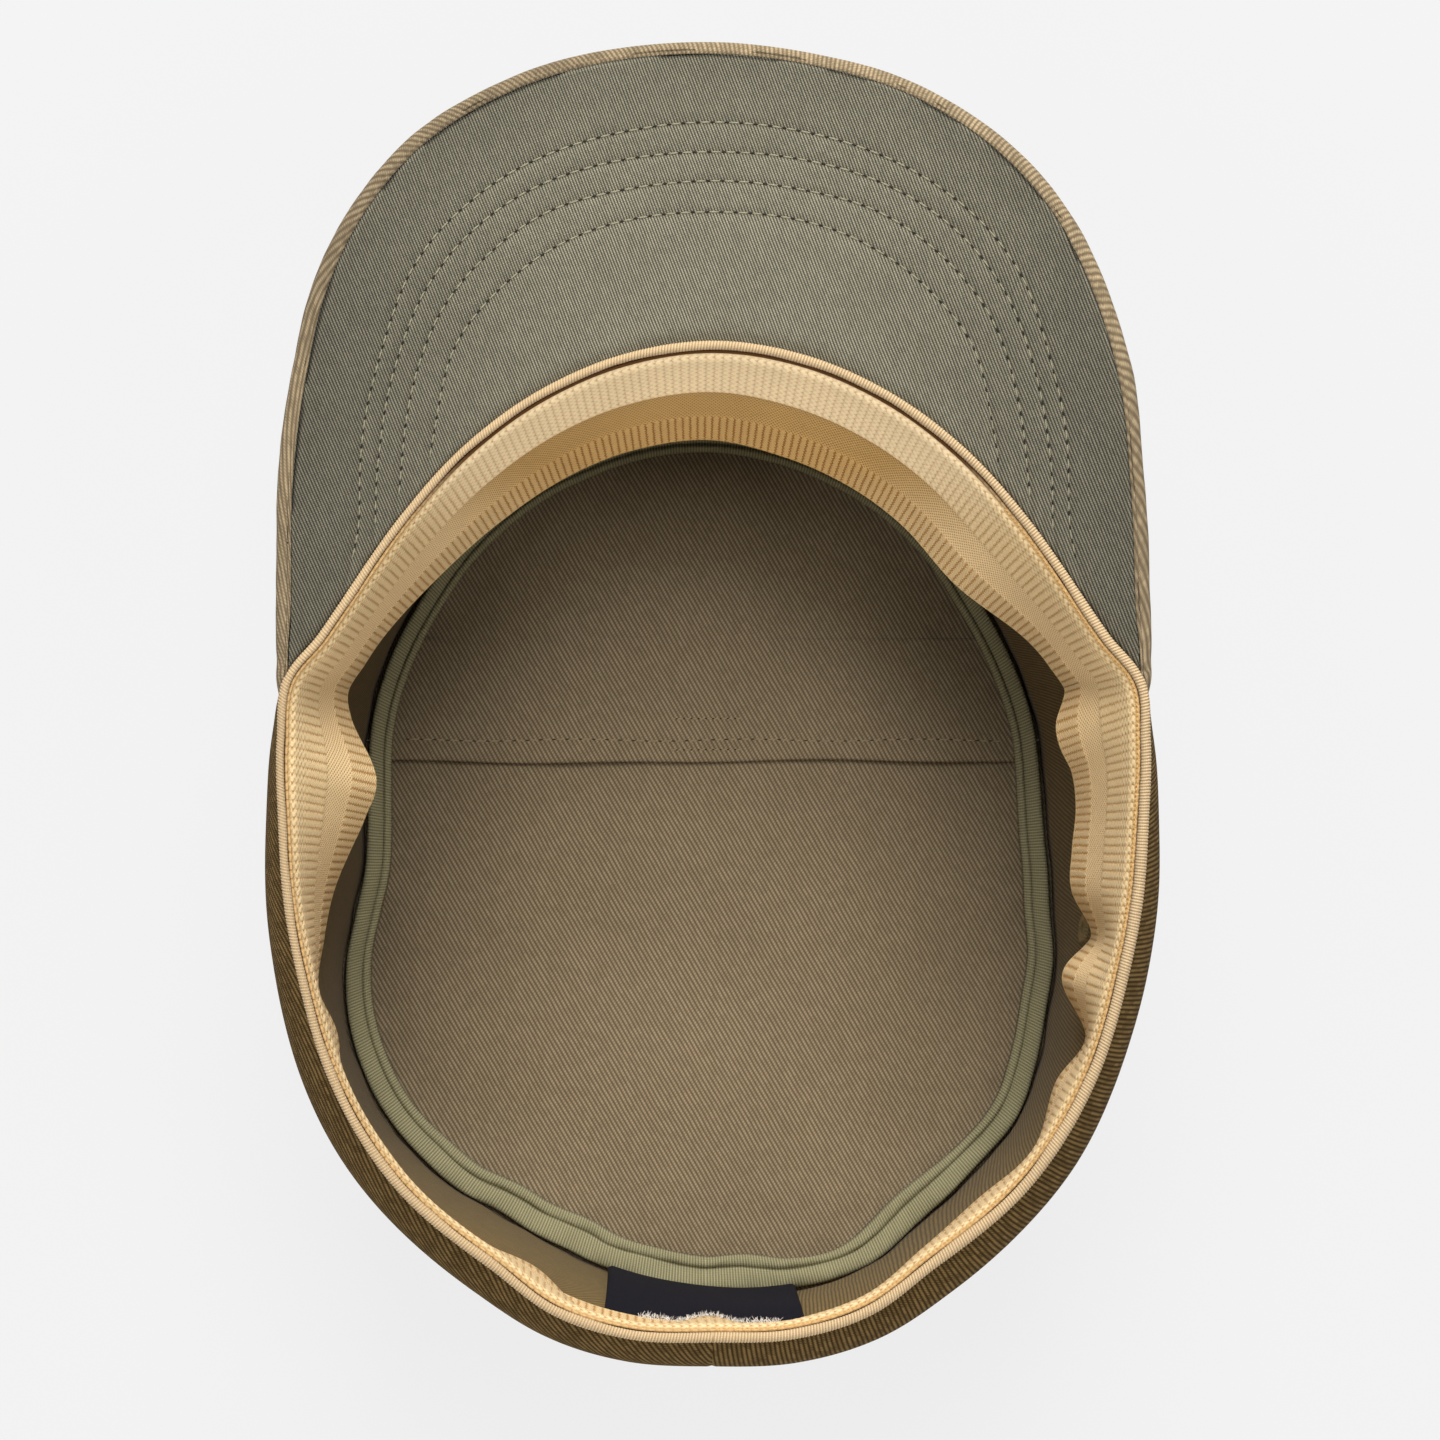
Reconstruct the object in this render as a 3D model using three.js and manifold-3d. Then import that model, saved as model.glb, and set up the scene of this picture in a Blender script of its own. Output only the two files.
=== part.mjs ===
// Army cap in twill, lying upside down on its flat crown, with the hollow open upwards.
// Millimetres. The origin is the middle of the crown's outer face, +Z is up out of the opening,
// the peak points along -Y. Turn is the angle round +Z from the peak's middle, positive towards -X.
// Left and right are as seen from above, looking into the opening, with the peak at the top:
// left is +X and right is -X.
import * as THREE from 'three';
import { mergeVertices } from 'three/addons/utils/BufferGeometryUtils.js';
import Module from 'manifold-3d';

const wasm = await Module();
wasm.setup();

// Cloth and clearances
const GAP = 0.3;
const WALL = 1.6;
const CROWN_CLOTH = 1.6;

// The rim, where wall, peak and sweatband are sewn together. Reach is the outer edge of the
// piping from the origin's axis, height is the top of the wall there, and bulge is how far the
// wall stands out below the rim, where the elastic band pulls the rim in.
const RIM = {
  columns: ['turn', 'reach', 'height', 'bulge'],
  rows: [
    [0, 108.2, 84.0, 1.0],
    [10, 106.9, 84.4, 1.0],
    [20, 104.0, 85.5, 1.0],
    [30, 100.2, 87.3, 1.0],
    [40, 96.2, 89.3, 1.0],
    [50, 93.3, 91.3, 1.0],
    [58, 92.7, 93.4, 1.2],
    [65, 94.4, 95.4, 2.0],
    [72, 91.3, 94.2, 3.6],
    [82, 87.6, 92.0, 5.0],
    [92, 86.0, 90.0, 5.8],
    [104, 85.4, 87.9, 6.2],
    [118, 87.0, 85.4, 6.0],
    [134, 89.1, 83.2, 6.4],
    [150, 90.4, 81.4, 7.6],
    [160, 93.7, 80.7, 6.8],
    [170, 94.4, 80.1, 6.6],
    [180, 93.6, 80.0, 6.6],
  ],
};
const BULGE_POWER = 4;

// The crown seam, at the outer edge of its binding, with the soft dents of each side
const CROWN = {
  columns: ['turn', 'left', 'right'],
  rows: [
    [0, 95.5, 95.5],
    [20, 93.0, 92.4],
    [35, 89.2, 87.8],
    [46, 85.4, 83.6],
    [56, 82.6, 80.8],
    [66, 79.4, 78.4],
    [76, 75.8, 75.6],
    [84, 74.1, 74.5],
    [91, 74.3, 75.0],
    [98, 77.1, 76.2],
    [105, 81.0, 78.8],
    [113, 84.6, 81.0],
    [121, 86.9, 84.4],
    [129, 88.4, 87.5],
    [139, 88.5, 88.8],
    [149, 87.9, 90.7],
    [158, 88.4, 93.7],
    [166, 90.1, 94.4],
    [180, 92.4, 92.4],
  ],
};

// Crown panels: a shallow dish whose edge rolls up to the seam, in two panels with a cross seam
const CROWN_SEAM_OUT = 0.6;
const CROWN_ROLL = 3.2;
const CROSS_SEAM_Y = -27.6;
const CROSS_SEAM_GAP = 0.3;
const LAP_FOLD_Y = -22.8;
const LAP_START_Y = -34.5;
const LAP_THICK = 1.2;
const LAP_BITE = 0.2;
const LAP_INSET = 2.4;

// Seam binding: a flat tape that leans from the wall down to the crown, wider at the back
const BINDING = { width: 6.2, backWidth: 7.4, thick: 2.0, innerHeight: 4.5, outerHeight: 5.8 };
const BINDING_SECTION = {
  columns: ['across', 'side'],
  rows: [[0, 0], [0.16, 0.45], [0.5, 0.5], [0.88, 0.42], [1, 0], [0.88, -0.42], [0.5, -0.5], [0.16, -0.45]],
};

// Sweatband: stand_in is how far the free edge stands in from the rim, in its waves
const SWEATBAND = { width: 30, thick: 1.5, start: 2.3, curl: 1.25 };
const PIPING = { diameter: 2.0, sides: 6, overhang: 0.2 };
const SWEATBAND_WAVES = {
  columns: ['turn', 'left', 'right'],
  rows: [
    [0, 16.4, 16.4],
    [10, 15.6, 17.2],
    [28, 13.8, 16.5],
    [40, 11.4, 15.8],
    [54, 7.9, 10.0],
    [62, 7.4, 9.8],
    [67, 11.4, 14.8],
    [74, 17.2, 11.8],
    [80, 15.2, 10.3],
    [86, 11.0, 10.6],
    [92, 6.6, 9.9],
    [99, 3.0, 4.2],
    [106, -0.6, 7.8],
    [113, 0.8, -0.4],
    [121, -2.6, 2.1],
    [130, -1.4, -1.6],
    [140, -3.2, 0.0],
    [150, -0.8, -1.0],
    [157, 1.0, -1.8],
    [166, -3.0, -3.0],
    [174, -1.6, -3.6],
    [180, 0.0, 0.0],
  ],
};

// Peak: reach of its outer edge. Its underside slopes up from the rim's middle and arches up
// to both sides, as the peak of a cap that is turned over does.
const PEAK_EDGE = {
  columns: ['turn', 'left', 'right'],
  rows: [
    [0, 165.7, 165.7],
    [8, 165.1, 164.2],
    [14, 163.0, 161.9],
    [21, 158.2, 156.2],
    [27, 150.9, 148.7],
    [33, 141.1, 138.6],
    [39, 129.4, 128.0],
    [46, 117.2, 115.6],
    [54, 105.3, 104.6],
    [62.5, 96.7, 96.7],
  ],
};
const PEAK = {
  slope: Math.tan(THREE.MathUtils.degToRad(15)),
  archRadius: 135,
  startY: -108,
  startHeight: 84,
  thick: 3.4,
  lining: 1.0,
  roll: 2.1,
  rollRound: 0.9,
  coverEnd: 62.5,
  liningEnd: 60,
  innerGap: 0.8,
};

// Label and vents
const LABEL = { width: 41, centreX: 1.2, thick: 1.0, low: 7.6, high: 49.6 };
const VENTS = [
  { side: 'left', turn: -91, height: 42 },
  { side: 'right', turn: 98.6, height: 38 },
];
const VENT = { outer: 3.6, hole: 1.1, round: 0.5, proud: 0.35, sides: 12 };
const DRILL_LENGTH = 10;

// Mesh fineness, as steps round the cap, up the wall, across the peak or along the label
const STEPS = {
  band: 92,
  bandUp: 6,
  sweat: 124,
  sweatAcross: 4,
  piping: 100,
  binding: 88,
  peak: 34,
  crown: 84,
  crownRoll: 3,
  label: 6,
};

const MATERIALS = {
  brownTwill: { color: 0x75664b, roughness: 0.92, metalness: 0 },
  peakTwill: { color: 0x8d7f62, roughness: 0.92, metalness: 0 },
  greenTwill: { color: 0x7e7a67, roughness: 0.92, metalness: 0 },
  creamKnit: { color: 0xd8b787, roughness: 0.95, metalness: 0 },
  creamRib: { color: 0xddc29c, roughness: 0.95, metalness: 0 },
  greenTape: { color: 0x848063, roughness: 0.9, metalness: 0 },
  navyLabel: { color: 0x14131a, roughness: 0.8, metalness: 0 },
  ventThread: { color: 0x4a3d27, roughness: 0.85, metalness: 0 },
};

// A smooth periodic function of the turn through a table's rows
function around(table, right, left = right) {
  const at = (row, name) => row[table.columns.indexOf(name)];
  const knots = [];
  for (const row of table.rows) {
    const turn = at(row, 'turn');
    knots.push([turn, at(row, right)]);
    if (turn > 0 && turn < 180) knots.push([-turn, at(row, left)]);
  }
  knots.sort((a, b) => a[0] - b[0]);
  const last = knots.length - 1;
  const closed = knots[last][0] === 180;
  const before = closed ? [knots[last][0] - 360, knots[last][1]] : knots[0];
  const after = closed ? [knots[0][0] + 360, knots[0][1]] : knots[last];
  const all = [before, ...knots, after];
  const slopeAt = (i) => {
    const low = all[Math.max(i - 1, 0)];
    const high = all[Math.min(i + 1, all.length - 1)];
    return high[0] === low[0] ? 0 : (high[1] - low[1]) / (high[0] - low[0]);
  };
  return (turn) => {
    let i = 0;
    while (i < all.length - 2 && (turn > all[i + 1][0] || all[i + 1][0] === all[i][0])) i += 1;
    const [t0, y0] = all[i];
    const [t1, y1] = all[i + 1];
    const span = t1 - t0;
    const f = THREE.MathUtils.clamp((turn - t0) / span, 0, 1);
    const blend = f * f * (3 - 2 * f);
    const lead = f * (1 - f) * (1 - f) * span * slopeAt(i);
    const trail = f * f * (1 - f) * span * slopeAt(i + 1);
    return y0 + (y1 - y0) * blend + lead - trail;
  };
}

const rimReach = around(RIM, 'reach');
const rimHeight = around(RIM, 'height');
const rimBulge = around(RIM, 'bulge');
const crownReach = around(CROWN, 'right', 'left');
const freeEdgeIn = around(SWEATBAND_WAVES, 'right', 'left');
const peakReach = around(PEAK_EDGE, 'right', 'left');

// The point at a turn, reach and height
function polar(turn, reach, height) {
  const angle = THREE.MathUtils.degToRad(turn);
  return new THREE.Vector3(-Math.sin(angle) * reach, -Math.cos(angle) * reach, height);
}

function spread(low, high, steps) {
  return Array.from({ length: steps + 1 }, (_, i) => low + ((high - low) * i) / steps);
}

function turnsRound(steps) {
  return spread(-180, 180, steps).slice(0, -1);
}

// A closed solid through sections that are rings of the same number of points. An open row of
// sections is capped with the triangles of its flat profile.
function loft(sections, profile = null) {
  const closed = profile === null;
  const ring = sections[0].length;
  const index = [];
  const joins = closed ? sections.length : sections.length - 1;
  for (let s = 0; s < joins; s += 1) {
    const a = s * ring;
    const b = ((s + 1) % sections.length) * ring;
    for (let p = 0; p < ring; p += 1) {
      const q = (p + 1) % ring;
      index.push(a + p, b + p, b + q, a + p, b + q, a + q);
    }
  }
  if (!closed) {
    const end = (sections.length - 1) * ring;
    for (const [i, j, k] of THREE.ShapeUtils.triangulateShape(profile, [])) {
      index.push(i, j, k, end + k, end + j, end + i);
    }
  }
  const geometry = new THREE.BufferGeometry();
  const positions = sections.flat().flatMap((point) => [point.x, point.y, point.z]);
  geometry.setAttribute('position', new THREE.Float32BufferAttribute(positions, 3));
  geometry.setIndex(index);
  return closedBody(geometry);
}

function signedVolume(geometry) {
  const points = geometry.getAttribute('position');
  const index = geometry.getIndex();
  const [a, b, c] = [new THREE.Vector3(), new THREE.Vector3(), new THREE.Vector3()];
  let volume = 0;
  for (let i = 0; i < index.count; i += 3) {
    a.fromBufferAttribute(points, index.getX(i));
    b.fromBufferAttribute(points, index.getX(i + 1));
    c.fromBufferAttribute(points, index.getX(i + 2));
    volume += a.dot(b.cross(c)) / 6;
  }
  return volume;
}

// Shared vertices are merged, triangles that shrank to a line go, and faces point outwards
function closedBody(geometry) {
  geometry.deleteAttribute('normal');
  geometry.deleteAttribute('uv');
  const merged = mergeVertices(geometry, 1e-4);
  const old = merged.getIndex().array;
  const kept = [];
  for (let i = 0; i < old.length; i += 3) {
    const [a, b, c] = [old[i], old[i + 1], old[i + 2]];
    if (a !== b && b !== c && c !== a) kept.push(a, b, c);
  }
  merged.setIndex(kept);
  if (signedVolume(merged) < 0) {
    for (let i = 0; i < kept.length; i += 3) [kept[i], kept[i + 1]] = [kept[i + 1], kept[i]];
    merged.setIndex(kept);
  }
  return merged;
}

function toManifold(geometry) {
  const body = closedBody(geometry);
  return new wasm.Manifold(new wasm.Mesh({
    numProp: 3,
    vertProperties: new Float32Array(body.getAttribute('position').array),
    triVerts: new Uint32Array(body.getIndex().array),
  }));
}

function fromManifold(solid) {
  const mesh = solid.getMesh();
  const geometry = new THREE.BufferGeometry();
  geometry.setAttribute('position', new THREE.Float32BufferAttribute(mesh.vertProperties, mesh.numProp));
  geometry.setIndex([...mesh.triVerts]);
  return closedBody(geometry);
}

function boxSolid(low, high) {
  const size = new THREE.Vector3().subVectors(high, low);
  const box = new THREE.BoxGeometry(size.x, size.y, size.z);
  box.translate((low.x + high.x) / 2, (low.y + high.y) / 2, (low.z + high.z) / 2);
  return toManifold(box);
}

// Wall. Its foot stands on the crown's rolled edge and its top carries the piping.
const WALL_FOOT = CROWN_ROLL + CROWN_CLOTH / 2 + GAP;
const seamReach = (turn) => crownReach(turn) + CROWN_SEAM_OUT + WALL;
const wallTop = (turn) => rimHeight(turn) - PIPING.diameter / 2;

function wallReach(turn, height) {
  const up = THREE.MathUtils.clamp((height - WALL_FOOT) / (wallTop(turn) - WALL_FOOT), 0, 1);
  const top = rimReach(turn) - PIPING.overhang;
  const straight = seamReach(turn) + (top - seamReach(turn)) * up;
  return straight + rimBulge(turn) * Math.sin(Math.PI * up ** BULGE_POWER);
}

function ventFrame(vent) {
  const reach = wallReach(vent.turn, vent.height) - WALL / 2;
  const step = 2;
  const rise = wallReach(vent.turn, vent.height + step) - wallReach(vent.turn, vent.height - step);
  const outward = polar(vent.turn, 1, 0);
  const axis = outward.clone().multiplyScalar(2 * step);
  axis.z = -rise;
  return { centre: polar(vent.turn, reach, vent.height), axis: axis.normalize() };
}

function placeOnVent(geometry, vent) {
  const { centre, axis } = ventFrame(vent);
  const turnTo = new THREE.Quaternion().setFromUnitVectors(new THREE.Vector3(0, 1, 0), axis);
  geometry.applyQuaternion(turnTo);
  geometry.translate(centre.x, centre.y, centre.z);
  return geometry;
}

function sideBand() {
  const seamHalf = THREE.MathUtils.radToDeg(GAP / 2 / rimReach(180));
  const sections = spread(-180 + seamHalf, 180 - seamHalf, STEPS.band).map((turn) => {
    const heights = spread(0, 1, STEPS.bandUp).map((f) => {
      const eased = Math.sin((f * Math.PI) / 2);
      return WALL_FOOT + (wallTop(turn) - WALL_FOOT) * eased;
    });
    const outer = heights.map((height) => polar(turn, wallReach(turn, height), height));
    const inner = heights.map((height) => polar(turn, wallReach(turn, height) - WALL, height));
    return [...outer, ...inner.reverse()];
  });
  const profile = [
    ...spread(0, 1, STEPS.bandUp).map((f) => new THREE.Vector2(WALL, f)),
    ...spread(1, 0, STEPS.bandUp).map((f) => new THREE.Vector2(0, f)),
  ];
  let solid = toManifold(loft(sections, profile));
  for (const vent of VENTS) {
    const radius = VENT.outer + GAP;
    const drill = new THREE.CylinderGeometry(radius, radius, DRILL_LENGTH, VENT.sides);
    solid = solid.subtract(toManifold(placeOnVent(drill, vent)));
  }
  return fromManifold(solid);
}

function ventRing(vent) {
  const half = WALL / 2 + VENT.proud;
  const { outer, hole, round } = VENT;
  const outline = [
    [hole + round, -half],
    [outer - round, -half],
    [outer, -half + round],
    [outer, half - round],
    [outer - round, half],
    [hole + round, half],
    [hole, half - round],
    [hole, -half + round],
    [hole + round, -half],
  ].map(([x, y]) => new THREE.Vector2(x, y));
  return closedBody(placeOnVent(new THREE.LatheGeometry(outline, VENT.sides), vent));
}

// Crown: a dish in two panels
function crownDish() {
  const roll = spread(0, 90, STEPS.crownRoll).map(THREE.MathUtils.degToRad);
  const mid = CROWN_ROLL + CROWN_CLOTH / 2;
  const sections = turnsRound(STEPS.crown).map((turn) => {
    const flatEnd = seamReach(turn) - mid;
    const arc = (radius) => roll.map((a) => {
      return polar(turn, flatEnd + radius * Math.sin(a), mid - radius * Math.cos(a));
    });
    const outer = [polar(turn, 0, 0), ...arc(mid)];
    const inner = [polar(turn, 0, CROWN_CLOTH), ...arc(mid - CROWN_CLOTH)];
    return [...outer, ...inner.reverse()];
  });
  return toManifold(loft(sections));
}

function outlinePrism(inset, low, high) {
  const points = turnsRound(STEPS.crown).map((turn) => polar(turn, crownReach(turn) - inset, 0));
  const shape = new THREE.Shape(points.map((point) => new THREE.Vector2(point.x, point.y)));
  const prism = new THREE.ExtrudeGeometry(shape, { depth: high - low, bevelEnabled: false, steps: 1 });
  prism.translate(0, 0, low);
  return toManifold(prism);
}

function lapStrip() {
  const under = CROWN_CLOTH + GAP;
  const top = under + LAP_THICK;
  const joggle = CROSS_SEAM_Y - CROSS_SEAM_GAP;
  const section = new THREE.Shape([
    [LAP_START_Y, CROWN_CLOTH - LAP_BITE],
    [joggle, CROWN_CLOTH - LAP_BITE],
    [joggle, under],
    [LAP_FOLD_Y, under],
    [LAP_FOLD_Y + LAP_THICK / 3, (under + top) / 2],
    [LAP_FOLD_Y, top],
    [LAP_START_Y + LAP_THICK, top],
  ].map(([y, z]) => new THREE.Vector2(y, z)));
  const length = 2 * crownReach(180);
  const strip = new THREE.ExtrudeGeometry(section, { depth: length, bevelEnabled: false, steps: 1 });
  const axes = new THREE.Matrix4().makeBasis(
    new THREE.Vector3(0, 1, 0),
    new THREE.Vector3(0, 0, 1),
    new THREE.Vector3(1, 0, 0),
  );
  strip.applyMatrix4(axes);
  strip.translate(-length / 2, 0, 0);
  return toManifold(strip);
}

function crownPanels() {
  const far = 200;
  const dish = crownDish();
  const front = dish.intersect(boxSolid(
    new THREE.Vector3(-far, -far, -far),
    new THREE.Vector3(far, CROSS_SEAM_Y - CROSS_SEAM_GAP, far),
  ));
  const back = dish.intersect(boxSolid(
    new THREE.Vector3(-far, CROSS_SEAM_Y, -far),
    new THREE.Vector3(far, far, far),
  ));
  const lap = lapStrip().intersect(outlinePrism(LAP_INSET, 0, BINDING.innerHeight));
  return { front: fromManifold(front.add(lap)), back: fromManifold(back) };
}

// Binding: a rounded tape whose outer edge lies by the wall
function seamBinding() {
  const { width, backWidth, thick, innerHeight, outerHeight } = BINDING;
  return loft(turnsRound(STEPS.binding).map((turn) => {
    const back = (1 - Math.cos(THREE.MathUtils.degToRad(turn))) / 2;
    const tape = width + (backWidth - width) * back ** 2;
    return BINDING_SECTION.rows.map(([across, side]) => {
      const height = innerHeight + (outerHeight - innerHeight) * across + side * thick;
      return polar(turn, crownReach(turn) - tape * (1 - across), height);
    });
  }));
}

// Sweatband: its path runs from the piping down and inwards to the waving free edge
function sweatbandPoint(turn, f, side) {
  const limit = rimReach(turn) - SWEATBAND.start;
  const away = Math.max(freeEdgeIn(turn), 0);
  const drop = Math.sqrt(SWEATBAND.width ** 2 - away ** 2);
  const height = rimHeight(turn) - drop * f;
  const wanted = limit - freeEdgeIn(turn) * f ** SWEATBAND.curl;
  const inner = Math.min(wanted, wallReach(turn, height) - WALL - GAP) - SWEATBAND.thick;
  return polar(turn, inner + (side ? SWEATBAND.thick : 0), height);
}

function sweatband() {
  const steps = spread(0, 1, STEPS.sweatAcross);
  return loft(turnsRound(STEPS.sweat).map((turn) => [
    ...steps.map((f) => sweatbandPoint(turn, f, true)),
    ...[...steps].reverse().map((f) => sweatbandPoint(turn, f, false)),
  ]));
}

function sweatbandPiping() {
  const radius = PIPING.diameter / 2;
  return loft(turnsRound(STEPS.piping).map((turn) => {
    return spread(0, 2 * Math.PI, PIPING.sides).slice(0, -1).map((a) => {
      const reach = rimReach(turn) - radius + radius * Math.cos(a);
      return polar(turn, reach, rimHeight(turn) + GAP + radius * Math.sin(a));
    });
  }));
}

// Peak
function peakSurface(point, depth) {
  const { slope, archRadius, startY, startHeight } = PEAK;
  const chord = Math.sqrt(archRadius ** 2 - point.x ** 2);
  const height = startHeight + slope * (startY - point.y) + archRadius - chord;
  const normal = new THREE.Vector3(-point.x / chord, slope, 1).normalize();
  return new THREE.Vector3(point.x, point.y, height).addScaledVector(normal, -depth);
}

function peakSection(turn, profile) {
  const inner = rimReach(turn) + PEAK.innerGap;
  const outer = peakReach(turn);
  return profile.map(([from, along, depth]) => {
    const reach = from === 'edge' ? outer - along : inner + (outer - PEAK.roll - inner) * along;
    return peakSurface(polar(turn, reach, 0), depth);
  });
}

function peakLoft(profile, end) {
  const middle = { span: 50, edge: 60 };
  const flat = profile.map(([from, along, depth]) => {
    return new THREE.Vector2(from === 'edge' ? middle.edge - along : middle.span * along, depth);
  });
  const sections = spread(-end, end, STEPS.peak).map((turn) => peakSection(turn, profile));
  return loft(sections, flat);
}

function peakCover() {
  const { thick, lining, roll, rollRound, coverEnd } = PEAK;
  const bed = lining + GAP;
  return peakLoft([
    ['span', 0, thick],
    ['span', 0, bed],
    ['span', 0.5, bed],
    ['edge', roll - GAP, bed],
    ['edge', roll - GAP, 0],
    ['edge', rollRound, 0],
    ['edge', 0, rollRound],
    ['edge', 0, thick - rollRound],
    ['edge', rollRound, thick],
    ['span', 0.5, thick],
  ], coverEnd);
}

function peakUnderside() {
  const { lining, roll, liningEnd } = PEAK;
  return peakLoft([
    ['span', 0, lining],
    ['span', 0, 0],
    ['span', 0.5, 0],
    ['edge', roll, 0],
    ['edge', roll, lining],
    ['span', 0.5, lining],
  ], liningEnd);
}

// Label: a folded tab that hangs from the binding against the back of the wall
function sizeLabel() {
  const { width, centreX, thick, low, high } = LABEL;
  const heights = spread(low, high, STEPS.label);
  const sections = spread(centreX - width / 2, centreX + width / 2, STEPS.label).map((x) => {
    const side = (height, depth) => {
      const turn = 180 - THREE.MathUtils.radToDeg(Math.asin(-x / crownReach(180)));
      const wrapped = turn > 180 ? turn - 360 : turn;
      return polar(wrapped, wallReach(wrapped, height) - WALL - GAP - depth, height);
    };
    return [
      ...heights.map((height) => side(height, 0)),
      ...[...heights].reverse().map((height) => side(height, thick)),
    ];
  });
  const profile = [
    ...heights.map((height) => new THREE.Vector2(thick, height)),
    ...[...heights].reverse().map((height) => new THREE.Vector2(0, height)),
  ];
  return loft(sections, profile);
}

function piece(name, geometry, material) {
  const mesh = new THREE.Mesh(geometry, new THREE.MeshStandardMaterial(MATERIALS[material]));
  mesh.name = name;
  return mesh;
}

const panels = crownPanels();
const cap = new THREE.Group();
cap.add(
  piece('crown_top_front', panels.front, 'brownTwill'),
  piece('crown_top_back', panels.back, 'brownTwill'),
  piece('side_band', sideBand(), 'brownTwill'),
  piece('peak_cover', peakCover(), 'peakTwill'),
  piece('peak_underside', peakUnderside(), 'greenTwill'),
  piece('sweatband', sweatband(), 'creamKnit'),
  piece('sweatband_piping', sweatbandPiping(), 'creamRib'),
  piece('seam_binding', seamBinding(), 'greenTape'),
  piece('size_label', sizeLabel(), 'navyLabel'),
);
for (const vent of VENTS) cap.add(piece(`vent_eyelet_${vent.side}`, ventRing(vent), 'ventThread'));

export default cap;
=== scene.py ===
"""Army cap in brown twill, lying upside down on its flat crown and seen straight into its opening.

Sizes are in millimetres and turned into metres where a mesh is made. +Z is up out of the opening and
the peak points along -Y. Turn is the angle round +Z from the peak's middle, positive towards -X, which
is the right of the picture.
"""
import math

import bmesh
import bpy
import numpy as np
from mathutils import Matrix, Vector


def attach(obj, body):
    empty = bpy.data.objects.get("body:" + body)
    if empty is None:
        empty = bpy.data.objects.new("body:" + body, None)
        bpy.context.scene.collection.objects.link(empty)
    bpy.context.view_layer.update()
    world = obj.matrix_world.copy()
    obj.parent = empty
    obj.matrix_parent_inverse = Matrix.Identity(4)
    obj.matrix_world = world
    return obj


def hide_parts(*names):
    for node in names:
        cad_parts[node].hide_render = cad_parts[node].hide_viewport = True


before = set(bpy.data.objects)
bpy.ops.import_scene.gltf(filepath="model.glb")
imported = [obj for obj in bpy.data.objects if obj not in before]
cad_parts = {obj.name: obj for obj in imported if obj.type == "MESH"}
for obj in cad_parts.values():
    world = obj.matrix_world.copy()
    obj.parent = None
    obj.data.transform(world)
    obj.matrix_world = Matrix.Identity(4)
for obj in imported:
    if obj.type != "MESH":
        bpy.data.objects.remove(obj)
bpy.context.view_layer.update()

MM = 0.001
TAU = 2 * math.pi
WELD = 2e-6
CLOTH_MAP = "cloth"

# Cloth and clearances
GAP = 0.3
WALL = 1.6
CROWN_CLOTH = 1.6

# The rim, where wall, peak and sweatband are sewn together
RIM = (
    ("turn", "reach", "height", "bulge"),
    (0, 108.2, 84.0, 1.0),
    (10, 106.9, 84.4, 1.0),
    (20, 104.0, 85.5, 1.0),
    (30, 100.2, 87.3, 1.0),
    (40, 96.2, 89.3, 1.0),
    (50, 93.3, 91.3, 1.0),
    (58, 92.7, 93.4, 1.2),
    (65, 94.4, 95.4, 2.0),
    (72, 91.3, 94.2, 3.6),
    (82, 87.6, 92.0, 5.0),
    (92, 86.0, 90.0, 5.8),
    (104, 85.4, 87.9, 6.2),
    (118, 87.0, 85.4, 6.0),
    (134, 89.1, 83.2, 6.4),
    (150, 90.4, 81.4, 7.6),
    (160, 93.7, 80.7, 6.8),
    (170, 94.4, 80.1, 6.6),
    (180, 93.6, 80.0, 6.6),
)
BULGE_POWER = 4

# The crown seam, at the outer edge of its binding, with the soft dents of each side
CROWN = (
    ("turn", "left", "right"),
    (0, 95.5, 95.5),
    (20, 93.0, 92.4),
    (35, 89.2, 87.8),
    (46, 85.4, 83.6),
    (56, 82.6, 80.8),
    (66, 79.4, 78.4),
    (76, 75.8, 75.6),
    (84, 74.1, 74.5),
    (91, 74.3, 75.0),
    (98, 77.1, 76.2),
    (105, 81.0, 78.8),
    (113, 84.6, 81.0),
    (121, 86.9, 84.4),
    (129, 88.4, 87.5),
    (139, 88.5, 88.8),
    (149, 87.9, 90.7),
    (158, 88.4, 93.7),
    (166, 90.1, 94.4),
    (180, 92.4, 92.4),
)
CROWN_SEAM_OUT = 0.6
CROWN_ROLL = 3.2
WALL_FOOT = CROWN_ROLL + CROWN_CLOTH / 2 + GAP
CROSS_SEAM_Y = -27.6
CROSS_SEAM_GAP = 0.02
LAP = {"fold": -22.8, "rise_from": -50.0, "under_from": -36.0, "thick": 1.25, "inset": 3.0}

# Rows of stitching on the crown's lap: the long topstitch and two short rows in the middle
CROWN_ROWS = (
    {"y": -27.6, "from": -65.5, "to": 65.5, "pitch": 2.9, "drift": 0.22},
    {"y": -32.3, "from": -8.2, "to": 7.0, "pitch": 1.6, "drift": 0.05},
    {"y": -25.5, "from": -8.2, "to": 7.0, "pitch": 1.6, "drift": 0.05},
)

# Seam binding: a tape folded over the seam, with one groove, wider at the back
BINDING = {"width": 5.0, "back_width": 7.0, "thick": 2.0, "inner_height": 3.6, "outer_height": 5.8}
BINDING_GROOVE = 0.36
BINDING_RIB = 0.65

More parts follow.
